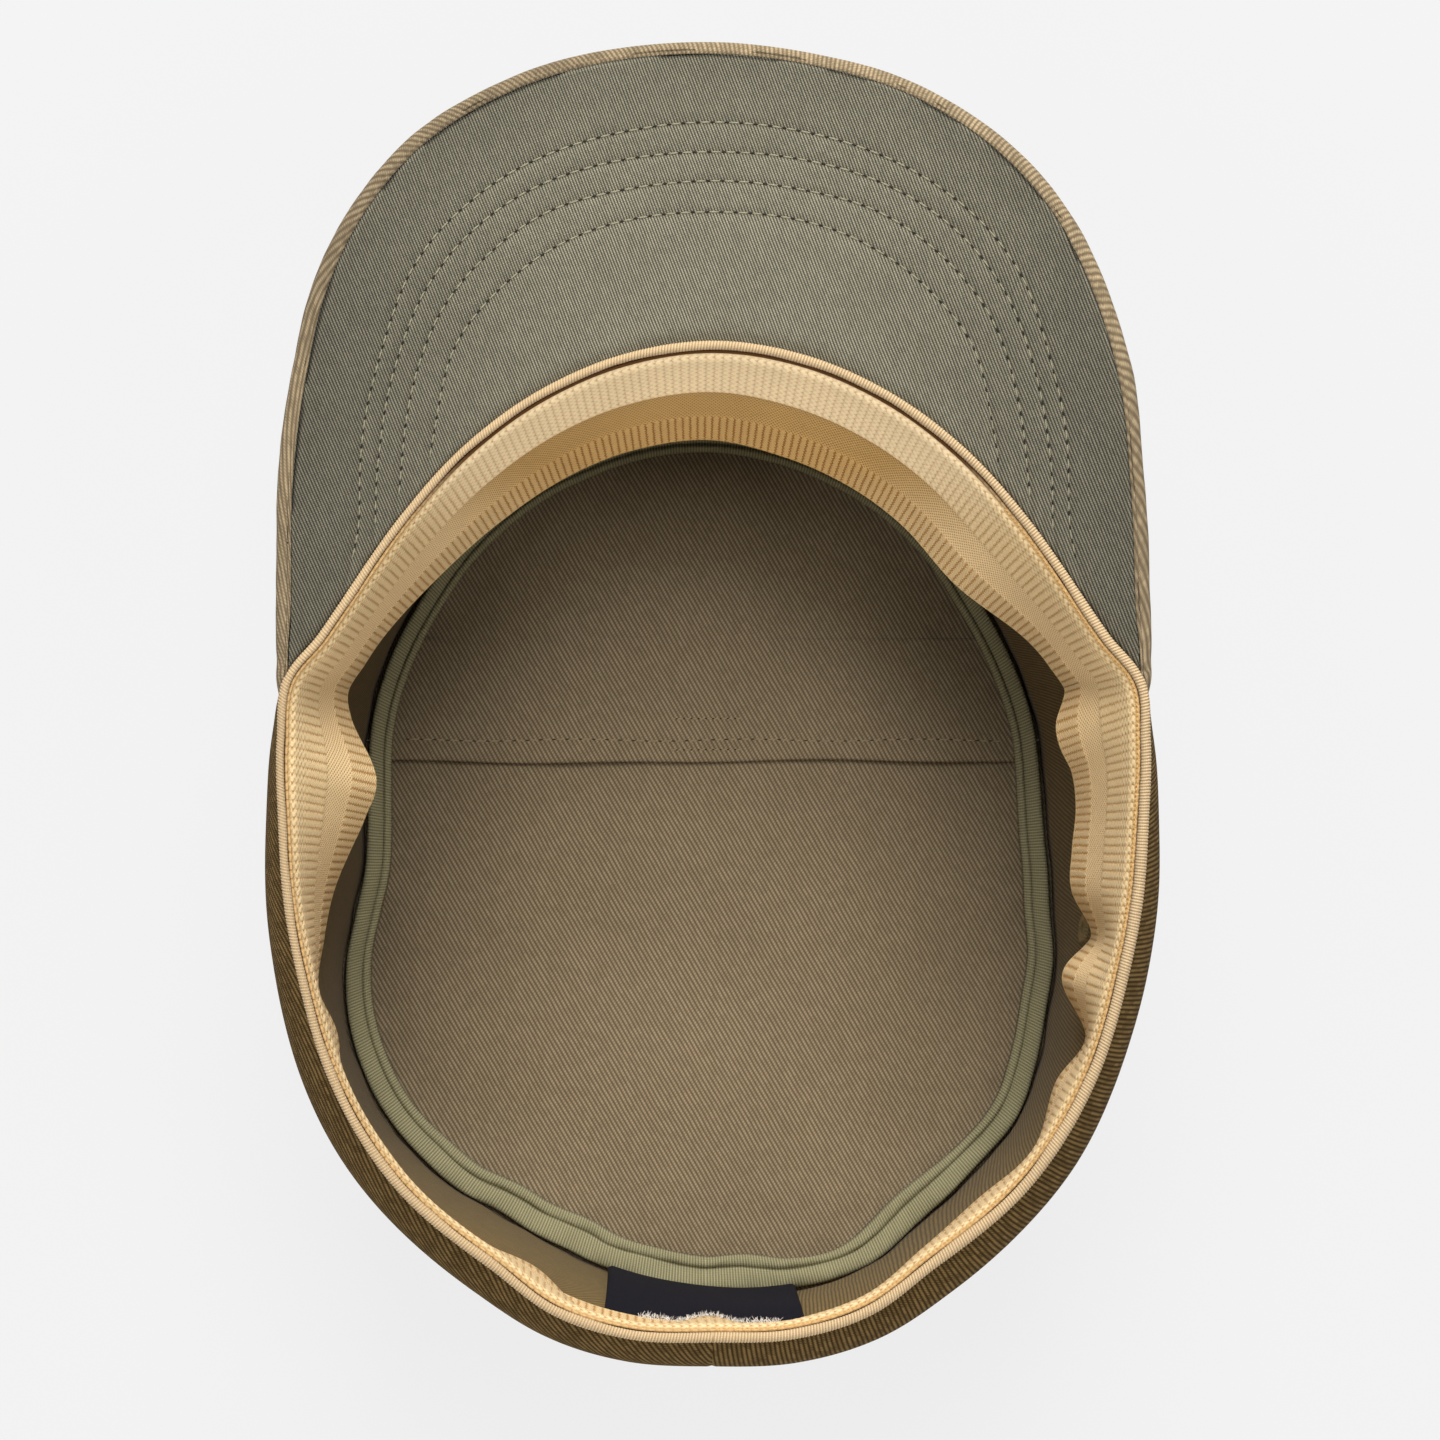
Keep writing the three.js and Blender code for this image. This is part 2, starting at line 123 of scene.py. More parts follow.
# Sweatband: stand_in is how far the free edge stands in from the rim, in its waves
SWEATBAND = {"width": 30.0, "thick": 1.5, "start": 2.3, "clear": 0.05, "curl": 1.25, "pitch": 1.8}
BAND_WAVES = (
    ("turn", "left", "right"),
    (0, 15.2, 15.2),
    (10, 14.5, 16.2),
    (28, 12.3, 15.4),
    (40, 9.4, 14.9),
    (54, 5.9, 8.0),
    (62, 6.8, 8.4),
    (67, 10.4, 14.0),
    (74, 16.1, 10.1),
    (80, 13.1, 8.5),
    (86, 8.9, 8.7),
    (92, 4.8, 8.1),
    (99, 1.0, 2.0),
    (106, -2.5, 6.2),
    (113, -1.3, -2.2),
    (121, -5.0, -0.2),
    (130, -3.6, -3.4),
    (140, -6.0, -2.0),
    (150, -3.2, -3.1),
    (157, -0.9, -3.8),
    (166, -5.5, -4.0),
    (174, -4.5, -5.0),
    (180, -2.5, -2.5),
)
# Zones across the sweatband, each from its start to the next one's, counted from the piping
KNIT_START = 0.7
BARS_START = 6.8
SMOOTH_START = 14.7
RIBS_START = 22.5
EDGE_START = 29.3
KNIT_ROW = 1.5
STRIPE_MESH = 0.9
PIPING_SHADOW_LINE = 0.35
PIPING = {"diameter": 2.0, "overhang": 0.2, "rib": 0.62, "round_steps": 10}
PIPING_SWELL = (
    ("turn", "left", "right"),
    (0, -0.1, -0.1),
    (60, -0.15, 0.0),
    (90, -0.12, 0.16),
    (140, 0.0, 0.14),
    (180, 0.05, 0.05),
)
CHAIN_AT = 0.7
CHAIN_FROM = 38.0

# Lean of the wall's wales beside straight down, in degrees, from the centre back round the left side
WALES = (
    ("turn", "lean"),
    (-180, -31),
    (-160, -58),
    (-140, -66),
    (-120, -88),
    (-100, -115),
    (-80, -135),
    (-60, -150),
    (0, -172),
    (60, -193),
    (75, -193),
    (95, -187),
    (135, -188),
    (155, -181),
    (180, -186),
)

# Peak: its underside slopes up from the rim's middle and arches up to both sides
PEAK_EDGE = (
    ("turn", "left", "right"),
    (0, 165.7, 165.7),
    (8, 165.1, 164.2),
    (14, 163.0, 161.9),
    (21, 158.2, 156.2),
    (27, 150.9, 148.7),
    (33, 141.1, 138.6),
    (39, 129.4, 128.0),
    (46, 117.2, 115.6),
    (54, 105.3, 104.6),
    (62.5, 96.3, 96.3),
    (65, 94.4, 94.4),
    (67, 92.4, 92.4),
)
PEAK = {
    "slope": math.tan(math.radians(15)), "arch_radius": 135.0, "start_y": -108.0, "start_height": 84.0,
    "thick": 3.4, "lining": 1.0, "roll": 2.1, "roll_lost": 0.6, "roll_narrows": (56, 65),
    "cover_end": 67.0, "lining_end": 65.5, "under_piping": 1.0, "root_drop": 0.8,
}
# Rows of stitching on the peak, by their reach
PEAK_ROWS = (
    ("turn", "first", "second", "third", "fourth"),
    (0, 150.6, 144.9, 139.3, 133.3),
    (8, 149.4, 144.2, 138.5, 132.6),
    (14, 147.0, 142.2, 136.8, 130.0),
    (20, 142.4, 137.7, 131.9, 125.0),
    (26, 135.2, 130.2, 124.6, 117.7),
    (32, 123.9, 119.4, 113.5, 105.2),
    (38, 112.8, 108.0, 101.5, 94.0),
    (46, 98.6, 94.5, 89.0, 83.0),
    (60, 88.0, 84.0, 80.0, 76.0),
)
# The rows end from_rim out from the rim, and apart keeps them from lying on each other
STITCH = {
    "pitch": 2.87, "length": 2.1, "hole": 0.95, "width": 0.36,
    "groove": 0.28, "sunk": 0.2, "from_rim": 2.5, "apart": 0.01,
}

LABEL = {"width": 41.0, "centre_x": 1.2, "thick": 0.9, "low": 7.0, "high": 49.6}
VENTS = (
    {"side": "left", "turn": -91.0, "height": 42.0},
    {"side": "right", "turn": 98.6, "height": 38.0},
)
VENT = {"outer": 3.2, "hole": 1.0, "proud": 0.4, "threads": 26}


def round_the_cap(table, column=None):
    """A smooth function of the turn through a table's rows: of its left and right columns, or of one
    column on both sides of the peak's middle."""
    knots = {}
    columns, *rows = table
    for numbers in rows:
        row = dict(zip(columns, numbers))
        knots[row["turn"]] = row[column or "right"]
        knots[-row["turn"]] = row[column or "left"]
    turns = np.array(sorted(knots), float)
    values = np.array([knots[turn] for turn in turns])
    slopes = np.empty_like(values)
    slopes[1:-1] = (values[2:] - values[:-2]) / (turns[2:] - turns[:-2])
    if turns[-1] == 180:
        slopes[[0, -1]] = (values[1] - values[-2]) / (turns[1] + 360 - turns[-2])
    else:
        slopes[0] = (values[1] - values[0]) / (turns[1] - turns[0])
        slopes[-1] = (values[-1] - values[-2]) / (turns[-1] - turns[-2])

    def curve(turn):
        i = np.clip(np.searchsorted(turns, turn) - 1, 0, len(turns) - 2)
        span = turns[i + 1] - turns[i]
        f = np.clip((turn - turns[i]) / span, 0, 1)
        blend = f * f * (3 - 2 * f)
        lead = f * (1 - f) ** 2 * span * slopes[i]
        trail = f * f * (1 - f) * span * slopes[i + 1]
        return values[i] + (values[i + 1] - values[i]) * blend + lead - trail

    return curve


rim_reach = round_the_cap(RIM, "reach")
rim_height = round_the_cap(RIM, "height")
rim_bulge = round_the_cap(RIM, "bulge")
crown_reach = round_the_cap(CROWN)
free_edge_in = round_the_cap(BAND_WAVES)
peak_reach = round_the_cap(PEAK_EDGE)
piping_swell = round_the_cap(PIPING_SWELL)
wale_turns, wale_leans = zip(*WALES[1:])
stitch_reaches = [round_the_cap(PEAK_ROWS, name) for name in PEAK_ROWS[0][1:]]


def together(*parts):
    """Points from their coordinates."""
    return np.stack(np.broadcast_arrays(*parts), axis=-1)


def joined(*parts):
    """Stations side by side."""
    return np.concatenate(parts, axis=1)


def polar(turn, reach, height):
    angle = np.radians(turn)
    return together(-np.sin(angle) * reach, -np.cos(angle) * reach, height).astype(float)


def run_along(points, axis=0):
    """The length passed at each point of a line of points."""
    steps = np.linalg.norm(np.diff(points, axis=axis), axis=-1)
    start = np.zeros_like(np.take(steps, [0], axis=axis))
    return np.cumsum(np.concatenate([start, steps], axis=axis), axis=axis)


def even_turns(reach, steps, low=-180.0, high=180.0):
    """Columns of turns that part a curve round the cap into even lengths, and of the length passed."""
    fine = np.linspace(low, high, 6001)
    run = run_along(polar(fine, reach(fine), 0))
    passed = np.linspace(0, run[-1], steps + 1)[:, None]
    return np.interp(passed, run, fine), passed


def whole_ribs(reach, pitch):
    """How many whole ribs of about a pitch go round the cap."""
    return round(even_turns(reach, 10)[1].max() / pitch)


def unit(vectors):
    return vectors / np.linalg.norm(vectors, axis=-1, keepdims=True)


def smooth_step(low, high, value):
    f = np.clip((value - low) / (high - low), 0, 1)
    return f * f * (3 - 2 * f)


def unevenness(points, size, seed, waves=7):
    """Soft bumps of about a size in space, mostly between -1 and 1."""
    draw = np.random.default_rng(seed)
    total = np.zeros(points.shape[:-1])
    for _ in range(waves):
        heading = draw.normal(size=3)
        heading *= TAU / (np.linalg.norm(heading) * size * draw.uniform(0.7, 1.5))
        total += np.sin(points @ heading + draw.uniform(0, TAU))
    return total / math.sqrt(waves)


def closed(form, mesh):
    """Fills a form's open edges, turns its faces outwards and puts it into a mesh."""
    open_edges = [edge for edge in form.edges if edge.is_boundary]
    bmesh.ops.holes_fill(form, edges=open_edges, sides=0)
    bmesh.ops.recalc_face_normals(form, faces=form.faces)
    form.to_mesh(mesh)
    form.free()
    mesh.shade_smooth()
    return mesh


def cloth(name, points, layout, finishes, finish_of_face=None):
    """A closed mesh through sections of stations: points[section, station] in millimetres. layout is
    each point's place on the flat cloth, and edges that meet are welded."""
    sections, stations = points.shape[:2]
    form = bmesh.new()
    bmesh.ops.create_grid(form, x_segments=stations - 1, y_segments=sections - 1, size=1)
    mesh = bpy.data.meshes.new(name)
    form.to_mesh(mesh)
    mesh.vertices.foreach_set("co", (points * MM).astype(np.float32).ravel())
    corners = np.empty(len(mesh.loops), np.int32)
    mesh.loops.foreach_get("vertex_index", corners)
    flat = mesh.uv_layers.new(name=CLOTH_MAP)
    flat.uv.foreach_set("vector", (layout.reshape(-1, 2)[corners] * MM).astype(np.float32).ravel())
    for finish in finishes:
        mesh.materials.append(finish)
    if finish_of_face is not None:
        mesh.polygons.foreach_set("material_index", finish_of_face.astype(np.int32).ravel())
    form.clear()
    form.from_mesh(mesh)
    bmesh.ops.remove_doubles(form, verts=form.verts, dist=WELD)
    return closed(form, mesh)


def placed(name, data):
    """An object in the scene."""
    thing = bpy.data.objects.new(name, data)
    bpy.context.collection.objects.link(thing)
    return thing


def piece(mesh, slot, *nodes):
    """Puts a mesh into the cap as a piece in place of nodes, which it hides. slot is not used."""
    thing = placed(mesh.name, mesh)
    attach(thing, "root")
    if nodes:
        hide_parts(*nodes)


def rounded_thread():
    """The points and faces of a thread 1 mm long, wide and high."""
    form = bmesh.new()
    bmesh.ops.create_uvsphere(form, u_segments=6, v_segments=5, radius=0.5)
    bmesh.ops.rotate(form, verts=form.verts, matrix=Matrix.Rotation(math.pi / 2, 3, "Y"))
    shape = np.array([vertex.co for vertex in form.verts])
    faces = [[vertex.index for vertex in face.verts] for face in form.faces]
    form.free()
    return shape, faces


THREAD_SHAPE, THREAD_FACES = rounded_thread()


def lined_up(line, up, pitch, size, slant=0.0, side=0.0, start=0.5):
    """The points of threads laid at even steps along a line of points. up is the surface's normal at
    each point, size is length, width and height, slant turns each thread on the surface, in degrees,
    and side moves it across the line."""
    run = run_along(line)
    passed = np.arange(start * pitch, run[-1], pitch)

    def there(values):
        return np.stack([np.interp(passed, run, values[:, i]) for i in range(3)], axis=-1)

    ahead = unit(there(np.gradient(line, run, axis=0)))
    normal = unit(there(up))
    beside = unit(np.cross(normal, ahead))
    angle = math.radians(slant)
    first = ahead * math.cos(angle) + beside * math.sin(angle)
    axes = np.stack([first, np.cross(normal, first), normal], axis=1)
    points = (there(line) + beside * side)[:, None, :] + np.einsum("vk,nkx->nvx", THREAD_SHAPE * size, axes)
    return points.reshape(-1, 3)


def threads(name, groups, finish):
    """One mesh of many threads, from groups of their points."""
    points = np.concatenate(groups)
    starts = range(0, len(points), len(THREAD_SHAPE))
    faces = [[corner + start for corner in face] for start in starts for face in THREAD_FACES]
    mesh = bpy.data.meshes.new(name)
    mesh.from_pydata((points * MM).tolist(), [], faces)
    mesh.materials.append(finish)
    mesh.shade_smooth()
    return mesh


def stitches(name, rows, finish, size, start=0.5, sink=0.0):
    """One thread, or one dark mark of painted shade in a needle hole, for each stitch of some rows. size is
    its length in stitches, its width and its height, and sink is how far it lies under the row."""
    groups = []
    for line, up, pitch in rows:
        shape = (size[0] * pitch, size[1], size[2])
        groups.append(lined_up(line - (0, 0, sink), up, pitch, shape, start=start))
    return threads(name, groups, finish)


# Finishes

# Painted light and shade on the cloths, by a word of their names: how much lighter or darker they are
# painted between two distances out from the cap's middle towards a turn
PAINTED_LIGHT_AND_SHADE = (
    ("word", "turn", "from", "to", "change"),
    ("crown", 180, 0, 80, 0.1),
    ("crown", 0, 48, 72, 0.14),
    ("crown", 0, -10, 40, -0.05),
    ("crown", 90, 25, 80, -0.2),
    ("crown", -90, 25, 80, -0.2),
    ("lining", 0, 130, 165, -0.2),
    ("lining", 90, 15, 95, -0.4),
    ("lining", -90, 15, 95, -0.42),
    ("peak", -40, 127, 143, -0.25),
    ("peak", 40, 122, 145, 0.05),
    ("peak", 0, 158, 168, 0.12),
    ("dark wall", 180, 20, 90, 0.22),
    ("dark wall", -90, 50, 80, -0.16),
    ("outer wall", -90, 60, 90, 0.15),
    ("outer wall", 90, 60, 90, 0.1),
    ("binding", 90, 50, 75, -0.1),
    ("binding", -90, 50, 75, 0.06),
    ("binding", 180, 50, 85, 0.06),
)


def tone(red, green, blue):
    """A colour as it shows on a screen, from 0 to 255, as the shader's linear colour."""
    parts = [part / 255 for part in (red, green, blue)]
    linear = [part / 12.92 if part <= 0.04045 else ((part + 0.055) / 1.055) ** 2.4 for part in parts]
    return (*linear, 1.0)


def maths_node(operation, reflected=False):
    """An operator of Shade, which adds a Math node."""
    def operator(self, other):
        values = [other, self] if reflected else [self, other]
        return self.finish.add("Math", {"operation": operation}, values)

    return operator


class Shade:
    """One shader socket in plain arithmetic: each operator adds a Math node to its finish."""

    def __init__(self, finish, socket):
        self.finish = finish
        self.socket = socket

    __add__ = __radd__ = maths_node("ADD")
    __sub__ = maths_node("SUBTRACT")
    __rsub__ = maths_node("SUBTRACT", reflected=True)
    __mul__ = __rmul__ = maths_node("MULTIPLY")
    __truediv__ = maths_node("DIVIDE")
    __pow__ = maths_node("POWER")

    def maths(self, operation):
        return self.finish.add("Math", {"operation": operation}, [self])

    def wave(self):
        """0 to 1 and back in each whole step of this value, 1 on the whole numbers."""
        return (self * TAU).maths("COSINE") * 0.5 + 0.5

    def step(self, low, high):
        """Rises smoothly from 0 to 1 as this value passes from low to high."""
        span = {"From Min": low, "From Max": high, "Value": self}
        return self.finish.add("MapRange", {"interpolation_type": "SMOOTHSTEP"}, span)


class Finish:
    """A procedural material in the making."""

    def __init__(self, name, roughness=0.92, sheen=0.04, gloss=0.25):
        self.material = bpy.data.materials.new(name)
        self.material.use_nodes = True
        self.tree = self.material.node_tree
        self.surface = self.tree.nodes["Principled BSDF"]
        self.surface.inputs["Roughness"].default_value = roughness
        self.surface.inputs["Specular IOR Level"].default_value = gloss
        self.surface.inputs["Sheen Weight"].default_value = sheen
        self.surface.inputs["Sheen Roughness"].default_value = 0.5

    def add(self, kind, settings=None, sockets=(), output=0):
        """Adds a node of a kind, with its settings first and then its sockets' values or links."""
        node = self.tree.nodes.new("ShaderNode" + kind)
        for name, value in (settings or {}).items():
            setattr(node, name, value)
        named = sockets.items() if isinstance(sockets, dict) else enumerate(sockets)
        for where, value in named:
            self.plug(node.inputs[where], value)
        return Shade(self, node.outputs[output])

    def plug(self, socket, value):
        if isinstance(value, Shade):
            self.tree.links.new(value.socket, socket)
        else:
            socket.default_value = value

    def flat_place(self):
        """The place on the flat cloth, in millimetres."""
        place = self.add("UVMap", {"uv_map": CLOTH_MAP})
        return self.add("VectorMath", {"operation": "SCALE"}, {0: place, "Scale": 1 / MM})

    def parts(self, vector):
        split = self.add("SeparateXYZ", None, [vector])
        return [Shade(self, output) for output in split.socket.node.outputs]

    def pitches(self, place, direction, pitch):
        """How many pitches out a place lies in a direction in degrees."""
        angle = math.radians(direction)
        heading = (math.cos(angle) / pitch, math.sin(angle) / pitch, 0)
        return self.add("VectorMath", {"operation": "DOT_PRODUCT"}, [place, heading], "Value")

    def noise(self, vector, size, detail=2.0):
        """Soft noise about 0.5, with bumps of about that size."""
        return self.add("TexNoise", None, {"Vector": vector, "Scale": 1 / size, "Detail": detail})

    def speckle(self, *parts):
        """A random number for each cell of whole numbers."""
        cells = [part.maths("FLOOR") for part in parts]
        return self.add("TexWhiteNoise", None, [self.add("CombineXYZ", None, cells)])

    def mix(self, amount, first, second):
        return self.add("Mix", {"data_type": "RGBA"}, {0: amount, 6: first, 7: second}, 2)

    def multiplied(self, colour, other):
        settings = {"data_type": "RGBA", "blend_type": "MULTIPLY"}
        return self.add("Mix", settings, {0: 1.0, 6: colour, 7: other}, 2)

    def shaded(self, colour, amount):
        """A colour made lighter or darker, 1 leaving it as it is."""
        return self.multiplied(colour, self.add("CombineColor", None, [amount, amount, amount]))

    def out_from_middle(self, turn):
        """How far out from the cap's middle a place lies towards a turn, in millimetres."""
        return self.pitches(self.add("TexCoord", None, (), "Object"), 270 - turn, MM)

    def light_and_shade_painted(self, amount):
        """A tone made lighter or darker by painted light and shade, from this finish's rows of the painted
        light and shade table.
        """
        for word, turn, low, high, change in PAINTED_LIGHT_AND_SHADE[1:]:
            if word in self.material.name:
                amount = amount * (1 + self.out_from_middle(turn).step(low, high) * change)
        return amount

    def done(self, colour, relief):
        """Colour, and relief as a height in millimetres."""
        self.plug(self.surface.inputs["Base Color"], colour)
        sockets = {"Height": relief, "Distance": MM, "Strength": 1.0}
        self.plug(self.surface.inputs["Normal"], self.add("Bump", None, sockets))
        return self.material


def twill(name, dark, light, wale, weft, relief=0.1, slub=0.25, patches=0.12, mottle=0.1, gloss=0.25):
    """Twill with slanting wales. wale and weft are the direction in degrees and the pitch of the waves
    across the wales and across the filling yarns."""
    finish = Finish(name, sheen=gloss * 0.16, gloss=gloss)
    place = finish.flat_place()
    wander = finish.noise(place, 14.0) * 0.7
    wales = finish.pitches(place, *wale) + wander
    yarns = finish.pitches(place, *weft) + wander
    ridge = wales.wave()
    cut = (yarns + wales * 0.5).wave()
    height = ridge * (cut * 0.5 + 0.5)
    grain = finish.speckle(wales + 0.5, yarns * 0.35)
    fuzz = finish.noise(place, 0.4, 3.0)
    shown = height + (grain - 0.5) * ridge * slub + (fuzz - 0.5) * 0.4
    cloudy = finish.noise(place, 24.0) * patches + (1 - patches / 2)
    cloudy = cloudy + (finish.noise(place, 3.5) - 0.5) * mottle
    # The cloudy tone also carries painted light and shade by place on the cap
    colour = finish.shaded(finish.mix(shown, dark, light), finish.light_and_shade_painted(cloudy))
    return finish.done(colour, height * relief + fuzz * (relief * 0.4))


# Colours of the elastic, with painted light on the front crests and painted shade on the front stripe, ribs
# and piping groove.
KNIT_GAP = tone(182, 130, 62)
KNIT_CREAM = tone(243, 216, 166)
KNIT_FRONT_PAINTED_LIGHT = tone(255, 230, 186)
KNIT_EDGE = tone(246, 214, 150)
RIBS_PAINTED_SHADE = (0.7, 0.58, 0.39, 1.0)
STRIPE_PAINTED_SHADE = (0.63, 0.53, 0.34, 1.0)
STRIPE_DARK = tone(170, 132, 84)
STRIPE_LIGHT = tone(248, 216, 164)
PAINTED_PIPING_SHADOW = tone(84, 52, 18)
OCHRE_DARK = tone(150, 104, 48)
OCHRE_LIGHT = tone(222, 184, 124)


def sweatband_finish():
    """Cream elastic: ribs of chained knit with thin ochre gaps, and a smooth stripe between them."""
    finish = Finish("cream elastic knit", roughness=0.95)
    place = finish.flat_place()
    round_rim, across, _ = finish.parts(place)
    column = round_rim / SWEATBAND["pitch"]
    front = finish.out_from_middle(0).step(66, 86)
    knit = across.step(KNIT_START - 0.5, KNIT_START + 0.7)
    bars = across.step(BARS_START - 2.0, BARS_START + 2.0) * (1 - front)
    smooth = across.step(SMOOTH_START - 0.25, SMOOTH_START + 0.25)
    ribs = across.step(RIBS_START - 0.2, RIBS_START + 0.2)
    edge = across.step(EDGE_START - 0.2, EDGE_START + 0.1)
    stripe = smooth * (1 - ribs)
    fuzz = finish.noise(place, 0.3, 3.0)
    wobble = (finish.noise(place, 1.6) - 0.5) * 0.45
    row = across / KNIT_ROW + wobble
    staggered = ((column + wobble * 0.4).wave() * 2 - 1) * (row.wave() * 2 - 1) * 0.5 + 0.5
    bump = staggered.step(0.05, 0.7)
    jog = (row * 2).wave() * 0.16
    gap = (column + 0.25 + jog + wobble * 0.4).wave() ** 6.0
    beside = (column.maths("FRACT") - 0.5).maths("ABSOLUTE")
    strand = (row * 2.6 + beside * 3.0).wave()
    seat = (1 - bump) * (1 - bars * 0.75) * (1 - ribs)
    # In front the knit's seats and gaps are painted lighter, as painted light, and the ribs' gaps darker,
    # as painted shade
    seamed = 0.42 - front * 0.06 + bars * 0.22 + ribs * (0.2 + front * 0.41)
    cut = seat * (0.5 - front * 0.2) + gap * seamed + strand * (bars + ribs) * 0.34
    knitted = 1.06 - cut
    mesh = ((round_rim + across) / STRIPE_MESH).wave() * ((round_rim - across) / STRIPE_MESH).wave()
    woven = 1.0 - mesh
    height = knitted * (1 - stripe) + woven * 0.8 * stripe
    shown = height + (fuzz - 0.5) * 0.4
    # Lighter crests in front: painted light
    crest = finish.mix(front * (1 - smooth), KNIT_CREAM, KNIT_FRONT_PAINTED_LIGHT)
    cream = finish.mix(shown, KNIT_GAP, crest)
    plain = finish.mix(woven + (fuzz - 0.5) * 0.5, STRIPE_DARK, STRIPE_LIGHT)
    colour = finish.mix(stripe, cream, plain)
    ochre = finish.mix(fuzz, OCHRE_DARK, OCHRE_LIGHT)
    colour = finish.mix((1 - knit) * (0.8 - front * 0.55), colour, ochre)
    colour = finish.mix(edge * 0.6, colour, KNIT_EDGE)
    # Painted shadow in the groove along the piping, in front
    seam = front * (1 - across.step(PIPING_SHADOW_LINE - 0.15, PIPING_SHADOW_LINE + 0.15))
    colour = finish.mix(seam, colour, PAINTED_PIPING_SHADOW)
    # Painted shade: the stripe and ribs are darkened in front
    painted_shade = finish.mix(ribs, STRIPE_PAINTED_SHADE, RIBS_PAINTED_SHADE)
    colour = finish.mix(front * smooth, colour, finish.multiplied(colour, painted_shade))
    clouds = finish.noise(place, 14.0) * 0.12 + 0.94
    return finish.done(finish.shaded(colour, clouds), height * 0.18 + fuzz * 0.05)


def ribbed_finish(name, groove, crest, pitch, slant):
    """Fine ribs across a tape or cord."""
    finish = Finish(name)
    place = finish.flat_place()
    along, across, _ = finish.parts(place)
    rib = (along / pitch + across * slant).wave()
    fuzz = finish.noise(place, 0.3, 3.0)
    weft = (across / 0.4).wave()
    shown = rib * 0.75 + weft * 0.15 + (fuzz - 0.5) * 0.5
    clouds = finish.noise(place, 11.0) * 0.16 + 0.92
    # The cloudy tone also carries painted light and shade by place on the cap
    colour = finish.shaded(finish.mix(shown, groove, crest), finish.light_and_shade_painted(clouds))
    return finish.done(colour, rib * 0.05 + fuzz * 0.04)


def thread_finish(name, colour, roughness=0.75):
    """Twisted thread."""
    finish = Finish(name, roughness=roughness)
    twist = finish.noise(finish.add("TexCoord", None, (), "Object"), 0.25 * MM)
    return finish.done(finish.shaded(colour, twist * 0.5 + 0.75), twist * 0.05)


def label_finish():
    """Navy woven label, bare."""
    finish = Finish("navy woven cloth", roughness=0.9, sheen=0.0)
    place = finish.flat_place()
    across, up, _ = finish.parts(place)
    weave = (across / 0.32).wave() * 0.5 + (up / 0.26).wave() * 0.5
    fuzz = finish.noise(place, 0.4, 3.0)
    colour = finish.mix(weave * 0.6 + fuzz * 0.4, tone(3, 3, 10), tone(16, 17, 34))
    return finish.done(colour, weave * 0.05)


# Wall


def seam_reach(turn):
    return crown_reach(turn) + CROWN_SEAM_OUT + WALL


def wall_top(turn):
    return rim_height(turn) - 1.0


def wall_reach(turn, height):
    up = np.clip((height - WALL_FOOT) / (wall_top(turn) - WALL_FOOT), 0, 1)
    top = rim_reach(turn) - PIPING["overhang"]
    straight = seam_reach(turn) + (top - seam_reach(turn)) * up
    return straight + rim_bulge(turn) * np.sin(math.pi * up ** BULGE_POWER)


def wall_flat(turns, height):
    """Places on the wall's flat cloth, which is cut as a curved strip. Its wales run along the second
    axis, so the strip turns to give them the lean of WALES beside straight down."""
    lean = np.radians(np.interp(turns[:, 0], wale_turns, wale_leans))
    passed = run_along(polar(turns[:, 0], rim_reach(turns[:, 0]), 0))
    steps = np.diff(passed)[:, None]
    heading = together(np.cos(lean), np.sin(lean))
    moves = (heading[1:] + heading[:-1]) / 2 * steps
    rim = np.concatenate([[[0.0, 0.0]], np.cumsum(moves, axis=0)])
    down = together(-np.sin(lean), np.cos(lean))
    return rim[:, None, :] + down[:, None, :] * (rim_height(turns) - height)[..., None]


def wall_cloth(inside, outside):
    """The wall, closed at the centre back by a seam, in one piece round the head."""
    seam = 180 - np.array([0.9, 0.6, 0.4, 0.25, 0.12])
    by_vents = [vent["turn"] + np.linspace(-3.5, 3.5, 21) for vent in VENTS]
    turns = np.unique(np.concatenate([np.linspace(-180, 180, 481), seam, -seam, *by_vents]))[:, None]
    eased = np.sin(np.linspace(0, 1, 30) * math.pi / 2)
    finer = np.linspace(0.37, 0.52, 21)
    up = np.unique(np.concatenate([eased, finer]))[None, :]
    height = WALL_FOOT + (wall_top(turns) - WALL_FOOT) * up
    reach = wall_reach(turns, height)
    body = polar(turns, reach, height)
    loose = np.sin(math.pi * up)
    soft = unevenness(body, 55, seed=3) * 0.45 * loose
    soft += unevenness(body, 11, seed=4) * 0.22 * np.exp(-(height - WALL_FOOT) / 7)
    from_seam = np.radians(180 - np.abs(turns)) * reach
    groove = 0.22 * np.exp(-((from_seam / 0.5) ** 2))
    turned_in = 0.5 * np.exp(-(height - WALL_FOOT) / 0.5)
    outer = polar(turns, reach + soft - groove - turned_in, height)
    inner = polar(turns, reach + soft - WALL + 0.2 * groove, height)
    points = joined(outer, inner[:, ::-1], outer[:, :1])
    outer_flat = wall_flat(turns, height)
    layout = joined(outer_flat, outer_flat[:, ::-1], outer_flat[:, :1])
    faces = np.zeros((points.shape[0] - 1, points.shape[1] - 1))
    faces[:, : up.size] = 1
    mesh = cloth("wall_cloth", points, layout, [inside, outside], faces)
    for vent in VENTS:
        pierce(mesh, vent)
    return mesh


